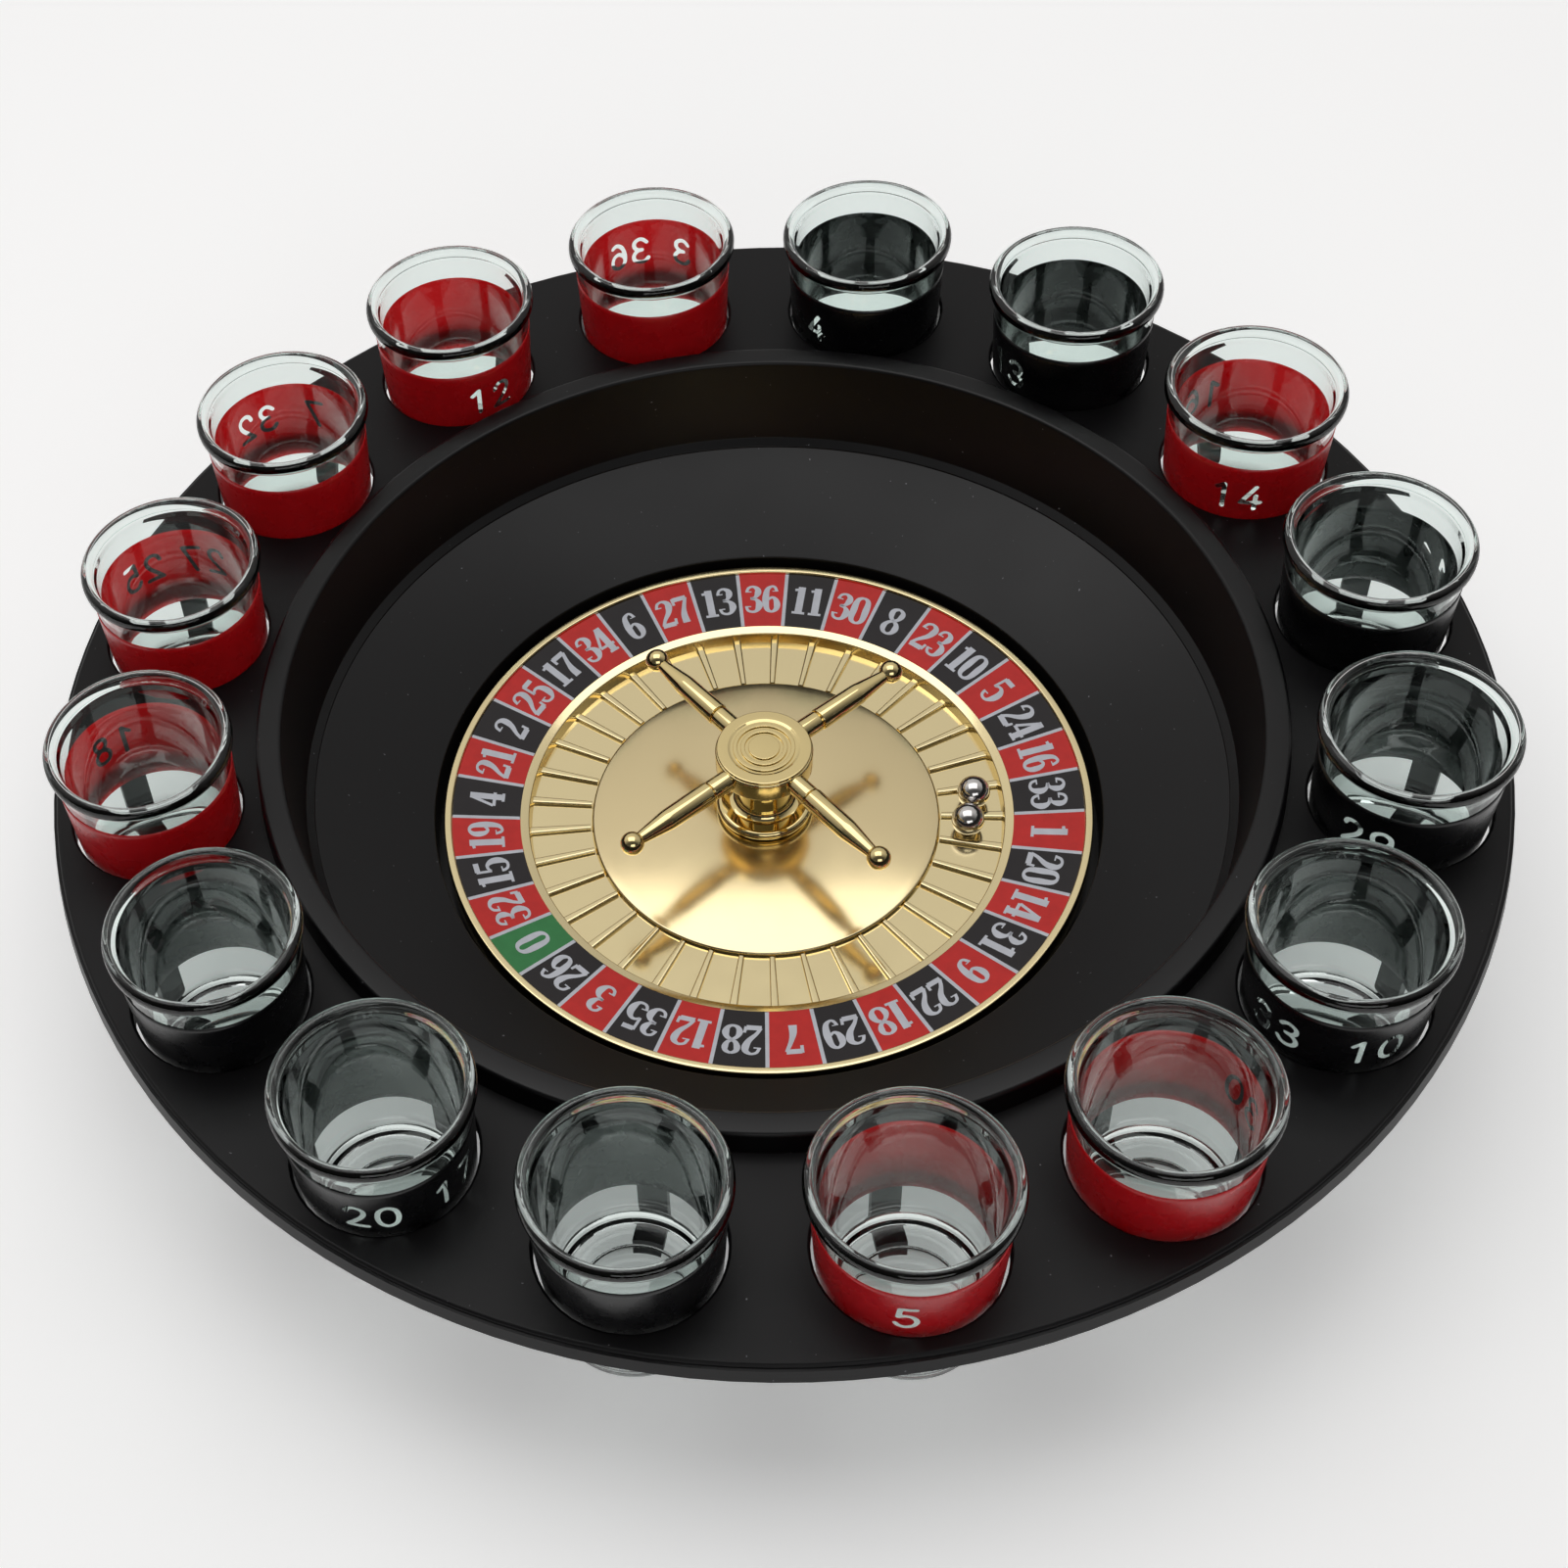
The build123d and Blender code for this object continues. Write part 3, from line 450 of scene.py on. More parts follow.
def rib_mesh():
    """One low bar per pocket: a round-topped section carried outwards, wider at its outer end."""
    ends = [(radius, rib_section(width)) for radius, width in zip((POCKET_INNER, RIB_OUTER), RIB_WIDTHS)]
    count = len(ends[0][1])
    bar = np.array([[(r, s[0], POCKET_FLOOR + s[1]) for s in section] for r, section in ends]).reshape(-1, 3)
    side = [(i, (i + 1) % count, count + (i + 1) % count, count + i) for i in range(count)]
    caps = [tuple(range(count)), tuple(range(2 * count - 1, count - 1, -1))]
    points, faces = [], []
    for index in range(POCKET_COUNT):
        angle = math.radians(RIB_FIRST_ANGLE + index * POCKET_PITCH)
        cosine, sine = math.cos(angle), math.sin(angle)
        turn = np.array([[cosine, -sine, 0], [sine, cosine, 0], [0, 0, 1]])
        points.append(bar @ turn.T)
        faces += [tuple(i + index * 2 * count for i in face) for face in side + caps]
    return np.concatenate(points), faces


ribs = mesh_object("rotor_ribs", *rib_mesh(), ["pocket_gold"])
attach(ribs, "rotor")
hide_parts("rotor_disc")

# ---------------------------------------------------------------- camera

camera_data = bpy.data.cameras.new("studio_camera")
camera = bpy.data.objects.new("studio_camera", camera_data)
bpy.context.scene.collection.objects.link(camera)
bpy.context.scene.camera = camera
EYE = Vector((0.0, -0.35143, 0.45762))
AIM = Vector((-0.05231, -0.01773, 0.0440))
ROLL = math.radians(-7.537)
LENS = 60.40
SENSOR_WIDTH = 36.0
SIDE_SHIFT = 0.1776
NEAR_CLIP = 0.01
forward = (AIM - EYE).normalized()
level = forward.cross(Vector((0, 0, 1))).normalized()
upright = level.cross(forward)
right = math.cos(ROLL) * level + math.sin(ROLL) * upright
up = right.cross(forward)
pose = Matrix((right, up, -forward)).transposed().to_4x4()
pose.translation = EYE
camera.matrix_world = pose
camera_data.lens = LENS
camera_data.sensor_width = SENSOR_WIDTH
camera_data.shift_x = SIDE_SHIFT
camera_data.clip_start = NEAR_CLIP

# ---------------------------------------------------------------- number ring

RING_ORDER = (
    0, 32, 15, 19, 4, 21, 2, 25, 17, 34, 6, 27, 13, 36, 11, 30, 8, 23, 10,
    5, 24, 16, 33, 1, 20, 14, 31, 9, 22, 18, 29, 7, 28, 12, 35, 3, 26,
)
RING_TOP_NUMBER = 36
RING_INNER, RING_OUTER = LABEL_INNER + 0.05, LIP_INNER - 0.05
RING_STEPS = 10


def ring_height(radius, lift=0.0):
    """Height of the sloping number ring at a radius."""
    return LABEL_INNER_TOP + (radius - LABEL_INNER) * LABEL_SLOPE + lift


def field_angle(index):
    """Middle angle of a number field; the fields run clockwise and 36 lies at the far side."""
    return 90.0 - (index - RING_ORDER.index(RING_TOP_NUMBER)) * POCKET_PITCH


def ring_inks():
    """Ink index of every face column: fields alternate red and black, and zero is green."""
    columns = np.arange(POCKET_COUNT * RING_STEPS)
    angle = field_angle(0) - POCKET_PITCH / 2 + (columns + 0.5) * 360.0 / len(columns)
    index = np.round((field_angle(0) - angle) / POCKET_PITCH).astype(int) % POCKET_COUNT
    inks = np.where(index % 2 == 1, 0, 1)
    inks[index == 0] = 2
    return inks


ring_outline = np.array([
    (RING_INNER, ring_height(RING_INNER, -LABEL_THICKNESS)),
    (RING_INNER, ring_height(RING_INNER)),
    (RING_OUTER, ring_height(RING_OUTER)),
    (RING_OUTER, ring_height(RING_OUTER, -LABEL_THICKNESS)),
])
ring = turned(
    "number_ring_print",
    ring_outline,
    POCKET_COUNT * RING_STEPS,
    ["ink_red", "ink_black", "ink_green"],
    np.repeat(ring_inks(), len(ring_outline)),
    first=math.radians(field_angle(0) - POCKET_PITCH / 2),
)
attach(ring, "rotor")
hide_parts("number_ring")

# Upright serif figures with thick sides and thin tops. Heights are 1, and each stroke point is (x, y, width).
SERIF = {
    "0": [[(0.25, 0.975, 0.05), (0.10, 0.86, 0.11), (0.08, 0.5, 0.16), (0.10, 0.14, 0.11), (0.25, 0.025, 0.05),
           (0.40, 0.14, 0.11), (0.42, 0.5, 0.16), (0.40, 0.86, 0.11), (0.25, 0.975, 0.05)]],
    "1": [[(0.26, 0.0, 0.17), (0.26, 1.0, 0.17)], [(0.08, 0.025, 0.05), (0.44, 0.025, 0.05)],
          [(0.30, 0.97, 0.06), (0.19, 0.90, 0.06), (0.07, 0.87, 0.05)]],
    "2": [[(0.10, 0.74, 0.15), (0.10, 0.78, 0.15)],
          [(0.05, 0.77, 0.05), (0.11, 0.92, 0.05), (0.25, 0.975, 0.05), (0.38, 0.89, 0.12), (0.40, 0.74, 0.16),
           (0.33, 0.52, 0.12), (0.16, 0.28, 0.07), (0.06, 0.07, 0.06)],
          [(0.04, 0.065, 0.13), (0.42, 0.065, 0.13)], [(0.43, 0.03, 0.05), (0.46, 0.25, 0.04)]],
    "3": [[(0.11, 0.76, 0.14), (0.11, 0.80, 0.14)],
          [(0.06, 0.79, 0.05), (0.12, 0.93, 0.05), (0.25, 0.975, 0.05), (0.37, 0.88, 0.12), (0.38, 0.73, 0.15),
           (0.30, 0.57, 0.06), (0.17, 0.53, 0.045)],
          [(0.17, 0.53, 0.045), (0.33, 0.48, 0.07), (0.41, 0.35, 0.15), (0.41, 0.22, 0.16), (0.34, 0.07, 0.08),
           (0.22, 0.025, 0.05), (0.10, 0.08, 0.05), (0.05, 0.21, 0.05)],
          [(0.10, 0.20, 0.14), (0.10, 0.24, 0.14)]],
    "4": [[(0.34, 0.0, 0.16), (0.34, 1.0, 0.16)], [(0.30, 0.97, 0.06), (0.04, 0.30, 0.05)],
          [(0.03, 0.28, 0.06), (0.49, 0.28, 0.06)], [(0.20, 0.025, 0.05), (0.48, 0.025, 0.05)]],
    "5": [[(0.11, 0.94, 0.12), (0.42, 0.94, 0.12)], [(0.10, 0.98, 0.045), (0.09, 0.53, 0.045)],
          [(0.09, 0.55, 0.05), (0.20, 0.62, 0.05), (0.32, 0.60, 0.08), (0.41, 0.45, 0.15), (0.41, 0.24, 0.16),
           (0.33, 0.06, 0.07), (0.21, 0.025, 0.05), (0.10, 0.08, 0.05), (0.05, 0.21, 0.05)],
          [(0.10, 0.20, 0.14), (0.10, 0.24, 0.14)]],
    "6": [[(0.41, 0.80, 0.05), (0.36, 0.94, 0.05), (0.27, 0.975, 0.05), (0.14, 0.85, 0.11), (0.09, 0.5, 0.16),
           (0.12, 0.14, 0.11), (0.25, 0.025, 0.05), (0.38, 0.12, 0.11), (0.41, 0.30, 0.15), (0.37, 0.48, 0.10),
           (0.27, 0.56, 0.05), (0.14, 0.46, 0.05)], [(0.37, 0.78, 0.13), (0.37, 0.81, 0.13)]],
    "7": [[(0.06, 0.92, 0.13), (0.45, 0.92, 0.13)], [(0.05, 0.98, 0.05), (0.05, 0.72, 0.05)],
          [(0.44, 0.92, 0.06), (0.30, 0.56, 0.09), (0.23, 0.28, 0.15), (0.22, 0.0, 0.18)]],
    "8": [[(0.25, 0.975, 0.05), (0.12, 0.90, 0.10), (0.10, 0.76, 0.13), (0.15, 0.61, 0.09), (0.25, 0.53, 0.06),
           (0.38, 0.42, 0.10), (0.42, 0.25, 0.15), (0.37, 0.09, 0.09), (0.25, 0.025, 0.05), (0.12, 0.09, 0.09),
           (0.07, 0.25, 0.13), (0.12, 0.41, 0.08), (0.25, 0.53, 0.06), (0.35, 0.61, 0.08), (0.40, 0.76, 0.13),
           (0.38, 0.90, 0.09), (0.25, 0.975, 0.05)]],
}
SERIF["9"] = [[(0.5 - x, 1.0 - y, w) for x, y, w in stroke] for stroke in SERIF["6"]]
RING_FIGURE_HEIGHT = 7.4
RING_FIGURE_MIDDLE = 60.0
RING_FIGURE_LIFT = 0.02
FIGURE_WIDEN = 1.08
FIGURE_BOLDEN = 0.035
DIVIDER_WIDTH = 0.8
DIVIDER_LIFT = 0.015


def smooth_line(points, steps=6):
    """Catmull-Rom curve through rows of numbers; two points stay a straight line."""
    knots = np.array(points, float)
    if len(knots) < 3:
        return knots
    closed = np.allclose(knots[0][:2], knots[-1][:2])
    before = knots[-2] if closed else 2 * knots[0] - knots[1]
    after = knots[1] if closed else 2 * knots[-1] - knots[-2]
    padded = np.vstack([before, knots, after])
    share = np.linspace(0.0, 1.0, steps, endpoint=False)[:, None]
    parts = []
    for a, b, c, d in zip(padded[:-3], padded[1:-2], padded[2:-1], padded[3:]):
        parts.append(0.5 * (2 * b + (c - a) * share + (2 * a - 5 * b + 4 * c - d) * share**2
                            + (3 * b - a - 3 * c + d) * share**3))
    return np.vstack(parts + [knots[-1:]])


def ribbon(points):
    """Flat band whose centre line and width follow the points; returns its two edges joined by quads."""
    line = smooth_line(points)
    along = np.gradient(line[:, :2], axis=0)
    along /= np.linalg.norm(along, axis=1, keepdims=True)
    side = np.stack([-along[:, 1], along[:, 0]], -1) * (line[:, 2:3] + FIGURE_BOLDEN) / 2
    edges = np.stack([line[:, :2] + side, line[:, :2] - side], 1).reshape(-1, 2)
    count = len(line)
    faces = [(2 * i, 2 * i + 1, 2 * i + 3, 2 * i + 2) for i in range(count - 1)]
    return edges, faces


def figure_width(digit):
    """Advance of one serif figure, as a share of its height."""
    return 0.5 if digit == "1" else 0.55


def ring_figures():
    """All printed figures: each number's strokes laid flat on the sloping ring, tops outwards."""
    points, faces, base = [], [], 0
    for index, number in enumerate(RING_ORDER):
        text = str(number)
        total = sum(figure_width(d) for d in text)
        pen = -total / 2
        angle = math.radians(field_angle(index))
        outward = np.array([math.cos(angle), math.sin(angle)])
        across = np.array([math.sin(angle), -math.cos(angle)])
        for digit in text:
            for stroke in SERIF[digit]:
                edges, quads = ribbon(stroke)
                u = (edges[:, 0] * FIGURE_WIDEN + pen) * RING_FIGURE_HEIGHT
                v = (edges[:, 1] - 0.5) * RING_FIGURE_HEIGHT + RING_FIGURE_MIDDLE
                flat = u[:, None] * across + v[:, None] * outward
                radius = np.hypot(flat[:, 0], flat[:, 1])
                points.append(np.column_stack([flat, ring_height(radius, RING_FIGURE_LIFT)]))
                faces += [tuple(i + base for i in quad) for quad in quads]
                base += len(edges)
            pen += figure_width(digit)
    return np.concatenate(points), faces


def ring_dividers():
    """Thin bars between the number fields, from the pocket edge to the outer lip."""
    radii = np.array([RING_INNER + 0.1, RING_OUTER - 0.1])
    points, faces = [], []
    for index in range(POCKET_COUNT):
        angle = math.radians(field_angle(index) + POCKET_PITCH / 2)
        outward = np.array([math.cos(angle), math.sin(angle)])
        across = np.array([-math.sin(angle), math.cos(angle)]) * DIVIDER_WIDTH / 2
        for radius, sign in ((radii[0], -1), (radii[1], -1), (radii[1], 1), (radii[0], 1)):
            points.append((*(outward * radius + across * sign), ring_height(radius, DIVIDER_LIFT)))
        faces.append(tuple(4 * index + i for i in range(4)))
    return np.array(points), faces


def upward(obj):
    """Turn a flat print's faces to look up."""
    mesh = obj.data
    shape = bmesh.new()
    shape.from_mesh(mesh)
    wrong = [face for face in shape.faces if face.normal.z < 0]
    bmesh.ops.reverse_faces(shape, faces=wrong)
    shape.to_mesh(mesh)
    shape.free()
    return obj


for name, (points, faces) in (("ring_figures", ring_figures()), ("ring_dividers", ring_dividers())):
    printed = upward(mesh_object(name, points, faces, ["ink_silver"], recalc=False))
    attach(printed, "rotor")

# ---------------------------------------------------------------- turret and arms

FOOT_TOP = 14.1
BEAD_INNER = 9.1
BEAD_TOP = 16.4
FLARE_RADIUS = 7.4
WAIST_RADIUS = 5.7
WAIST_BOTTOM, WAIST_TOP = 18.4, 24.8
CAVITY_FLOOR = 27.3
TURRET = rounded([
    (BUSH_HOLE_RADIUS, TURRET_SEAT),
    (8.0, TURRET_SEAT),
    (8.0, FOOT_TOP),
    (BEAD_INNER, FOOT_TOP),
    *arc((BEAD_INNER, FOOT_TOP), (10.25, 15.25), (BEAD_INNER, BEAD_TOP), 20)[1:],
    (FLARE_RADIUS, BEAD_TOP, 0.15),
    *arc((FLARE_RADIUS, BEAD_TOP), (6.15, 17.05), (WAIST_RADIUS, WAIST_BOTTOM), 14)[2:],
    (WAIST_RADIUS, WAIST_TOP),
    *arc((WAIST_RADIUS, WAIST_TOP), (6.9, 27.1), (HUB_RADIUS, HUB_LOW), 18)[1:-1],
    (HUB_RADIUS, HUB_LOW, 0.3),
    (HUB_RADIUS, HUB_TOP, 0.5),
    (CAVITY_RADIUS, HUB_TOP),
    (CAVITY_RADIUS, CAVITY_FLOOR),
    (BUSH_HOLE_RADIUS, CAVITY_FLOOR),
])
turret = turned("turret_post_turned", TURRET, 128, ["gold"])
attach(turret, "rotor")
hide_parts("turret_post")

CAP_RADIUS = 9.9
CAP_TOP = 33.5
CAP_GROOVE = 33.15
CAP_EDGE_TOP = 33.4
PLUG_RADIUS = CAVITY_RADIUS - 0.02
PLUG_BOTTOM = HUB_TOP - 1.5
CAP_ROUNDING = 0.15
CAP = rounded([
    (0.0, PLUG_BOTTOM),
    (PLUG_RADIUS, PLUG_BOTTOM),
    (PLUG_RADIUS, HUB_TOP),
    (CAP_RADIUS, HUB_TOP, CAP_ROUNDING),
    (CAP_RADIUS, CAP_EDGE_TOP, 0.3),
    (7.6, CAP_EDGE_TOP, 0.2),
    (7.1, CAP_GROOVE, CAP_ROUNDING),
    (6.5, CAP_GROOVE),
    (6.5, CAP_TOP, CAP_ROUNDING),
    (5.6, CAP_TOP, CAP_ROUNDING),
    (5.6, CAP_GROOVE),
    (4.9, CAP_GROOVE),
    (4.9, CAP_TOP, CAP_ROUNDING),
    (4.0, CAP_TOP, CAP_ROUNDING),
    (4.0, CAP_GROOVE),
    (3.3, CAP_GROOVE),
    (3.3, CAP_TOP, CAP_ROUNDING),
    (0.0, CAP_TOP),
])
cap = turned("turret_cap_turned", CAP, 96, ["gold"])
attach(cap, "rotor")
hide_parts("turret_cap")

STUD_RADIUS = 1.2
STUD_START = 7.0
ARM_SEAT = 9.6
ARM_RADIUS = 2.25
COLLAR_RADIUS = 1.85
COLLAR_START, COLLAR_END = 14.7, 15.0
NECK = (1.35, 33.3)
TIP_SIDE = (2.5, 35.4)
ARM_REACH = 37.9
ARM = rounded([
    (0.0, STUD_START),
    (STUD_RADIUS, STUD_START),
    (STUD_RADIUS, ARM_SEAT),
    (ARM_RADIUS, ARM_SEAT),
    (ARM_RADIUS, COLLAR_START, 0.25),
    (COLLAR_RADIUS, COLLAR_START),
    (COLLAR_RADIUS, COLLAR_END),
    (2.45, COLLAR_END, 0.25),
    (2.3, 26.0, 12.0),
    NECK,
    *arc(NECK, TIP_SIDE, (0.0, ARM_REACH), 24)[1:],
])
for index, angle in enumerate(ARM_ANGLES, start=1):
    arm = turned(f"handle_arm_{index}_turned", ARM, 48, ["gold"])
    moved(arm, spot(angle, 0.0, ARM_HEIGHT) @ Matrix.Rotation(math.radians(90), 4, "Y"))
    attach(arm, "rotor")
    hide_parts(f"handle_arm_{index}")

# ---------------------------------------------------------------- balls

BALL_PLACES = ((4.30, 44.5), (-5.43, 43.0))
BALL_SEGMENTS = 96
HALF_CIRCLE = np.radians(np.linspace(-90.0, 90.0, 49))
BALL = np.column_stack([BALL_RADIUS * np.cos(HALF_CIRCLE), BALL_RADIUS * np.sin(HALF_CIRCLE)])
BALL[[0, -1], 0] = 0.0
for index, (angle, radius) in enumerate(BALL_PLACES, start=1):
    points = turn_points(BALL, BALL_SEGMENTS)
    faces = grid_faces(BALL_SEGMENTS, len(BALL), wrap_columns=False)
    ball = mesh_object(f"ball_{index}_polished", points, faces, ["ball"])
    moved(ball, spot(angle, radius, POCKET_FLOOR + BALL_RADIUS))
    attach(ball, f"ball_{index}")
    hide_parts(f"ball_{index}")

# ---------------------------------------------------------------- glasses

BEAD_RADIUS = 18.95
BORE_FLOOR = 7.8
BELLY_HEIGHT = 21.6
SHOULDER_HEIGHT = 33.75
NECK_HEIGHT = 41.9
BELLY_RADIUS, SHOULDER_RADIUS, NECK_RADIUS = 16.8, 17.4, 17.65
GLASS = rounded([
    (0.0, 0.8),
    (9.8, 0.8),
    (10.7, 0.0, 0.6),
    (15.3, 0.0, 1.8),
    (BELLY_RADIUS, BELLY_HEIGHT, 60.0),
    (SHOULDER_RADIUS, SHOULDER_HEIGHT, 30.0),
    (NECK_RADIUS, NECK_HEIGHT, 0.5),
    (BEAD_RADIUS, 42.1, 1.2),
    (BEAD_RADIUS, GLASS_HEIGHT, 1.4),
    (17.0, GLASS_HEIGHT, 0.9),
    (16.0, 41.4, 3.0),
    (15.1, BELLY_HEIGHT, 60.0),
    (13.8, BORE_FLOOR, 3.0),
    (0.0, BORE_FLOOR),
])
BAND_LOW, BAND_HIGH = 16.0, 36.5
RED_GLASSES = (1, 4, 8, 9, 13, 14, 15, 16)
# Numbers on each glass: the text and the side of the glass it is on, in degrees about the glass's own axis
GLASS_NUMBERS = {
    1: (("36", 112), ("3", 67)),
    2: (("4", -133),),
    3: (("13", -149),),
    4: (("14", -104), ("16", 120)),
    5: (("11", 29),),
    6: (("35", 92), ("29", -124)),
    7: (("10", -77), ("33", -140)),
    8: (("30", 27),),
    9: (("5", -95),),
    10: (("24", 2),),
    11: (("20", -91), ("17", -34)),
    12: (("22", 104), ("31", 157)),
    13: (("18", 128),),
    14: (("25", 131), ("27", 81)),
    15: (("32", 126), ("7", 77)),
    16: (("12", -59),),
}
# Rounded figures of even stroke. Heights are 1, and each stroke is its centre line.
SANS = {
    "0": [[(0.30, 1.0), (0.52, 0.86), (0.60, 0.5), (0.52, 0.14), (0.30, 0.0), (0.08, 0.14), (0.0, 0.5),
           (0.08, 0.86), (0.30, 1.0)]],
    "1": [[(0.10, 0.80), (0.34, 1.0)], [(0.34, 1.0), (0.34, 0.0)]],
    "2": [[(0.03, 0.76), (0.11, 0.93), (0.30, 1.0), (0.50, 0.91), (0.55, 0.72), (0.46, 0.5), (0.24, 0.24),
           (0.02, 0.0)], [(0.02, 0.0), (0.60, 0.0)]],
    "3": [[(0.05, 0.85), (0.18, 0.97), (0.34, 1.0), (0.52, 0.88), (0.53, 0.68), (0.40, 0.55), (0.24, 0.53)],
          [(0.24, 0.53), (0.44, 0.49), (0.58, 0.30), (0.52, 0.09), (0.30, 0.0), (0.12, 0.04), (0.0, 0.18)]],
    "4": [[(0.44, 1.0), (0.0, 0.28)], [(0.0, 0.28), (0.64, 0.28)], [(0.47, 0.60), (0.47, 0.0)]],
    "5": [[(0.54, 1.0), (0.12, 1.0)], [(0.12, 1.0), (0.07, 0.55)],
          [(0.07, 0.55), (0.26, 0.63), (0.46, 0.57), (0.58, 0.34), (0.50, 0.10), (0.28, 0.0), (0.10, 0.05),
           (0.0, 0.18)]],
    "6": [[(0.52, 0.93), (0.36, 1.0), (0.14, 0.86), (0.02, 0.5), (0.06, 0.16), (0.28, 0.0), (0.52, 0.10),
           (0.58, 0.32), (0.50, 0.52), (0.30, 0.60), (0.10, 0.48), (0.03, 0.34)]],
    "7": [[(0.0, 1.0), (0.58, 1.0)], [(0.58, 1.0), (0.20, 0.0)]],
    "8": [[(0.30, 1.0), (0.12, 0.94), (0.08, 0.77), (0.16, 0.61), (0.30, 0.55), (0.50, 0.45), (0.58, 0.27),
           (0.50, 0.07), (0.30, 0.0), (0.10, 0.07), (0.02, 0.27), (0.10, 0.45), (0.30, 0.55), (0.44, 0.61),
           (0.52, 0.77), (0.48, 0.94), (0.30, 1.0)]],
}
SANS["9"] = [[(0.60 - x, 1.0 - y) for x, y in stroke] for stroke in SANS["6"]]
FIGURE_HEIGHT = 6.6
FIGURE_STROKE = 1.05
FIGURE_ADVANCE = 0.92
FIGURE_BOTTOM = 24.6
FIGURE_MARGIN = 1.0
FINE_STEP = 0.28
BAND_LIFT = 0.03
ENAMEL_THICKNESS = 0.05
FAR_AWAY = 99.0


def glass_radius(height):
    """Outer radius of the glass at heights above its base."""
    return np.interp(height, [2.0, BELLY_HEIGHT, SHOULDER_HEIGHT, NECK_HEIGHT],
                     [15.44, BELLY_RADIUS, SHOULDER_RADIUS, NECK_RADIUS])


def clear_distance(u, v, numbers):
    """Distance from points of the unrolled band to the nearest clear figure; below zero is inside it."""
    nearest = np.full(u.shape, FAR_AWAY)
    for text, angle in numbers:
        width = (len(text) - 1) * FIGURE_ADVANCE + 0.6
        pen = math.radians(angle) * GLASS_RADIUS - width * FIGURE_HEIGHT / 2
        for digit in text:
            for stroke in SANS[digit]:
                line = smooth_line(stroke, 5)[:, :2] * FIGURE_HEIGHT + (pen, FIGURE_BOTTOM)
                for start, end in zip(line[:-1], line[1:]):
                    run = end - start
                    share = ((u - start[0]) * run[0] + (v - start[1]) * run[1]) / (run @ run)
                    share = np.clip(share, 0.0, 1.0)
                    gap = np.hypot(u - start[0] - share * run[0], v - start[1] - share * run[1])
                    nearest = np.minimum(nearest, gap - FIGURE_STROKE / 2)
            pen += FIGURE_ADVANCE * FIGURE_HEIGHT
    return nearest


def band_lines(numbers):
    """Grid lines of the band: coarse all round, fine where figures are."""
    girth = FULL * GLASS_RADIUS
    fine = [np.zeros(0)]
    for text, angle in numbers:
        half = (len(text) * FIGURE_ADVANCE * FIGURE_HEIGHT) / 2 + FIGURE_MARGIN
        middle = math.radians(angle) * GLASS_RADIUS
        fine.append(np.arange(middle - half, middle + half, FINE_STEP))
    start = -girth / 2
    fine = (np.concatenate(fine) - start) % girth + start
    coarse = np.linspace(-girth / 2, girth / 2, 97)[:-1]
    near = np.array([np.min(np.abs(fine - c)) if len(fine) else FAR_AWAY for c in coarse])
    u = np.sort(np.concatenate([coarse[near > 0.3], fine]))
    low, high = FIGURE_BOTTOM - FIGURE_MARGIN, FIGURE_BOTTOM + FIGURE_HEIGHT + FIGURE_MARGIN
    v = np.concatenate([
        np.linspace(BAND_LOW, low, 6)[:-1],
        np.arange(low, high, FINE_STEP),
        np.linspace(high, BAND_HIGH, 4),
    ])
    return u, v


def band_mesh(numbers):
    """Enamel skin of one glass: every grid cell outside the figures, cut along their outline.

    The cell's corners and the points where the figures' edge crosses its sides are walked in order, and those
    that are outside a figure make the face.
    """
    u, v = band_lines(numbers)
    columns, rows = len(u), len(v)
    gu, gv = np.meshgrid(u, v, indexing="ij")
    gap = clear_distance(gu, gv, numbers)
    points = np.stack([gu, gv], -1).reshape(-1, 2)
    inside = gap.reshape(-1) < 0
    flat_gap = gap.reshape(-1)
    crossings = {}
    extra = []

    def crossing(a, b):
        key = (min(a, b), max(a, b))
        if key not in crossings:
            share = flat_gap[key[0]] / (flat_gap[key[0]] - flat_gap[key[1]])
            crossings[key] = len(points) + len(extra)
            extra.append(points[key[0]] + (points[key[1]] - points[key[0]]) * share)
        return crossings[key]

    quads = grid_faces(columns, rows, True, False)
    count_in = inside[quads].sum(1)
    faces = [tuple(q) for q in quads[count_in == 0]]
    for quad in quads[(count_in > 0) & (count_in < 4)]:
        walk = []
        for a, b in zip(quad, np.roll(quad, -1)):
            if not inside[a]:
                walk.append(int(a))
            if inside[a] != inside[b]:
                walk.append(crossing(int(a), int(b)))
        if len(walk) > 2:
            faces.append(tuple(walk))
    if extra:
        points = np.vstack([points, np.array(extra)])
    angle = points[:, 0] / GLASS_RADIUS
    radius = glass_radius(points[:, 1]) + BAND_LIFT
    solid = np.column_stack([radius * np.cos(angle), radius * np.sin(angle), points[:, 1]])
    return solid, faces


def outward(obj):
    """Turn the faces of an upright skin round the Z axis to look away from it."""
    shape = bmesh.new()
    shape.from_mesh(obj.data)
    wrong = []
    for face in shape.faces:
        middle = face.calc_center_median()
        if face.normal.x * middle.x + face.normal.y * middle.y < 0:
            wrong.append(face)
    bmesh.ops.reverse_faces(shape, faces=wrong)
    loose = [v for v in shape.verts if not v.link_faces]
    bmesh.ops.delete(shape, geom=loose, context="VERTS")
    shape.to_mesh(obj.data)
    shape.free()
    return obj


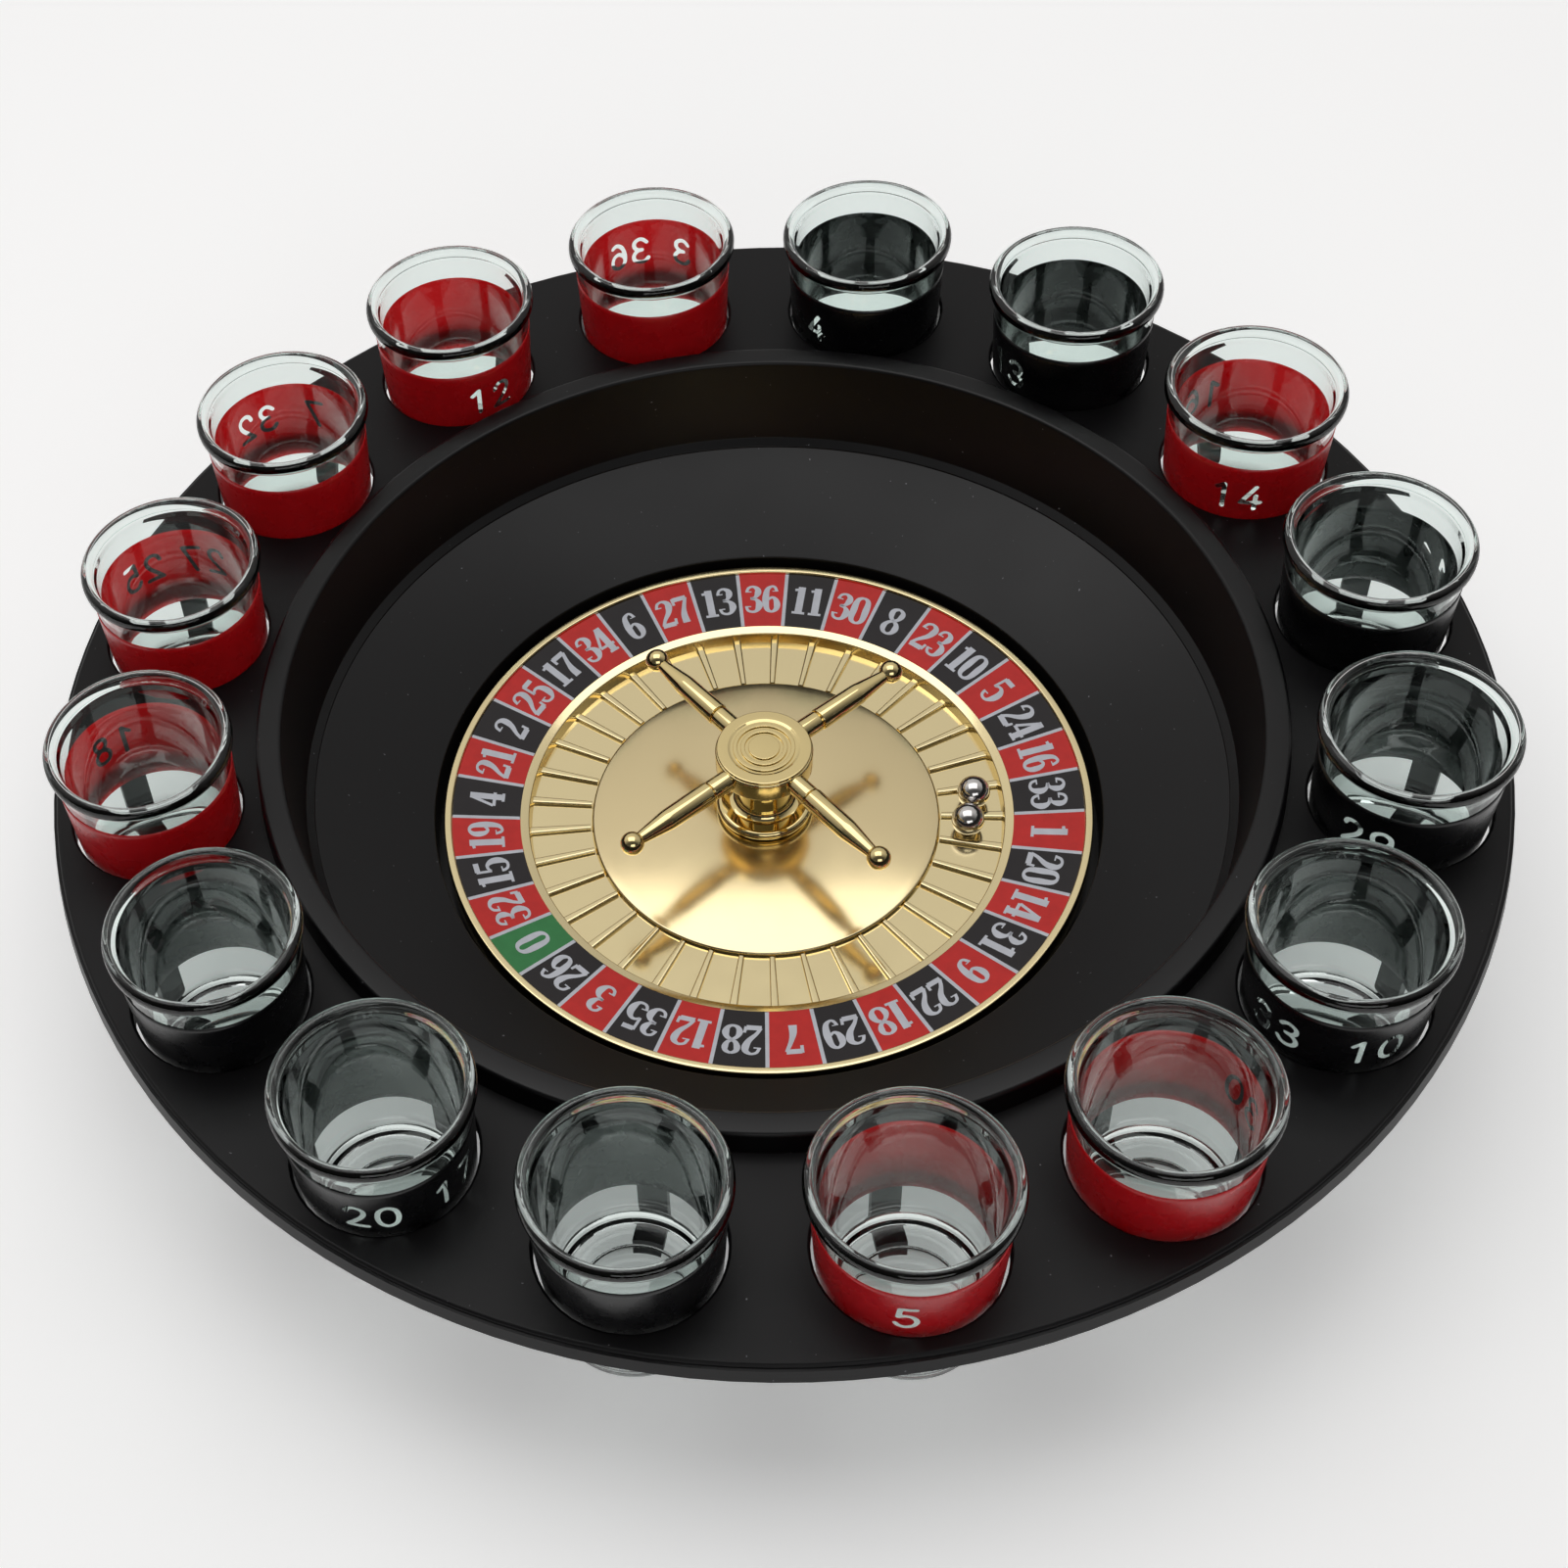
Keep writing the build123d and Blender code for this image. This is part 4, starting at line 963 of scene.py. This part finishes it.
for index in range(1, GLASS_COUNT + 1):
    red = index in RED_GLASSES
    node = f"glass_{index:02d}"
    angle = STATION_FIRST - (index - 1) * 360.0 / GLASS_COUNT
    x = STATION_CIRCLE * math.cos(math.radians(angle))
    y = STATION_CIRCLE * math.sin(math.radians(angle))
    place = Matrix.Translation(Vector((x, y, GLASS_SEAT)) * MM)
    tumbler = moved(turned(f"{node}_blown", GLASS, 112, ["glass"], sharp=60.0), place)
    band = mesh_object(f"{node}_enamel", *band_mesh(GLASS_NUMBERS[index]),
                       ["enamel_red" if red else "enamel_black"], recalc=False)
    moved(outward(band), place)
    thickness = band.modifiers.new("enamel_thickness", "SOLIDIFY")
    thickness.thickness = ENAMEL_THICKNESS * MM
    thickness.offset = 1.0
    for piece in (tumbler, band):
        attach(piece, node)
    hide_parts(node)

# ---------------------------------------------------------------- frame nodes that stay

for node, material in {
    "tray_deck": "deck",
    "deck_screws": "zinc",
    "rubber_feet": "rubber",
    "spindle": "zinc",
    "thrust_washer": "zinc",
    "keeper_washer": "zinc",
    "keeper_screw": "zinc",
    "bearing_bush": "gold",
}.items():
    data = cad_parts[node].data
    data.materials.clear()
    data.materials.append(MATERIALS[material])

# ---------------------------------------------------------------- studio

# Seamless white paper, lit so strongly that it shows no shade of its own: a faint glow stands in for that
paper, tree, shader = new_material("white_studio_paper", Roughness=0.9, Emission_Strength=0.28)
shader.inputs["Base Color"].default_value = linear("#FFFFFF")
shader.inputs["Emission Color"].default_value = linear("#FFFFFF")
MATERIALS["paper"] = paper
FLOOR_HALF = 4000.0
corners = np.array([(x * FLOOR_HALF, y * FLOOR_HALF, 0.0) for x, y in ((-1, -1), (1, -1), (1, 1), (-1, 1))])
floor = mesh_object("studio_floor", corners, [(0, 1, 2, 3)], ["paper"], recalc=False)

world = bpy.data.worlds.new("studio_world")
world.use_nodes = True
bpy.context.scene.world = world
tree = world.node_tree
sky = tree.nodes["Background"]
toward = add(tree, "ShaderNodeTexCoord")
parts = add(tree, "ShaderNodeSeparateXYZ", Vector=toward.outputs["Generated"])
# The room: brighter overhead and on the left, and dark low down on the player's side
height = add(tree, "ShaderNodeMapRange", {"From Min": 0.2, "From Max": 0.8, "To Min": 0.45, "To Max": 0.66},
             Value=parts.outputs["Z"])
side = add(tree, "ShaderNodeMapRange", {"From Min": -1.0, "From Max": 1.0, "To Min": 1.2, "To Max": 0.75},
           Value=parts.outputs["X"])
front = add(tree, "ShaderNodeMapRange", {"From Min": -0.45, "From Max": 0.25, "To Min": 0.12, "To Max": 1.0},
            Value=parts.outputs["Y"])
TIMES = {"operation": "MULTIPLY"}
level = add(tree, "ShaderNodeMath", TIMES, i0=height.outputs["Result"], i1=side.outputs["Result"])
level = add(tree, "ShaderNodeMath", TIMES, i0=level.outputs["Value"], i1=front.outputs["Result"])
sky.inputs["Color"].default_value = linear("#FFFDFB")
tree.links.new(level.outputs["Value"], sky.inputs["Strength"])


def softbox(name, place, aim, size, power):
    """Square soft light at a place, in metres, looking at a point."""
    data = bpy.data.lights.new(name, "AREA")
    data.shape = "RECTANGLE"
    data.size, data.size_y = size
    data.energy = power
    light = bpy.data.objects.new(name, data)
    bpy.context.scene.collection.objects.link(light)
    light.location = place
    light.rotation_euler = (Vector(aim) - Vector(place)).to_track_quat("-Z", "Y").to_euler()
    return light


softbox("overhead_softbox", (-0.15, 0.15, 1.2), (-0.15, 0.15, 0.0), (1.3, 0.9), 4.3)
softbox("front_softbox", (0.3, -1.8, 1.1), (0.0, 0.0, 0.0), (1.4, 0.8), 5.0)

bpy.context.scene.view_settings.view_transform = "Standard"
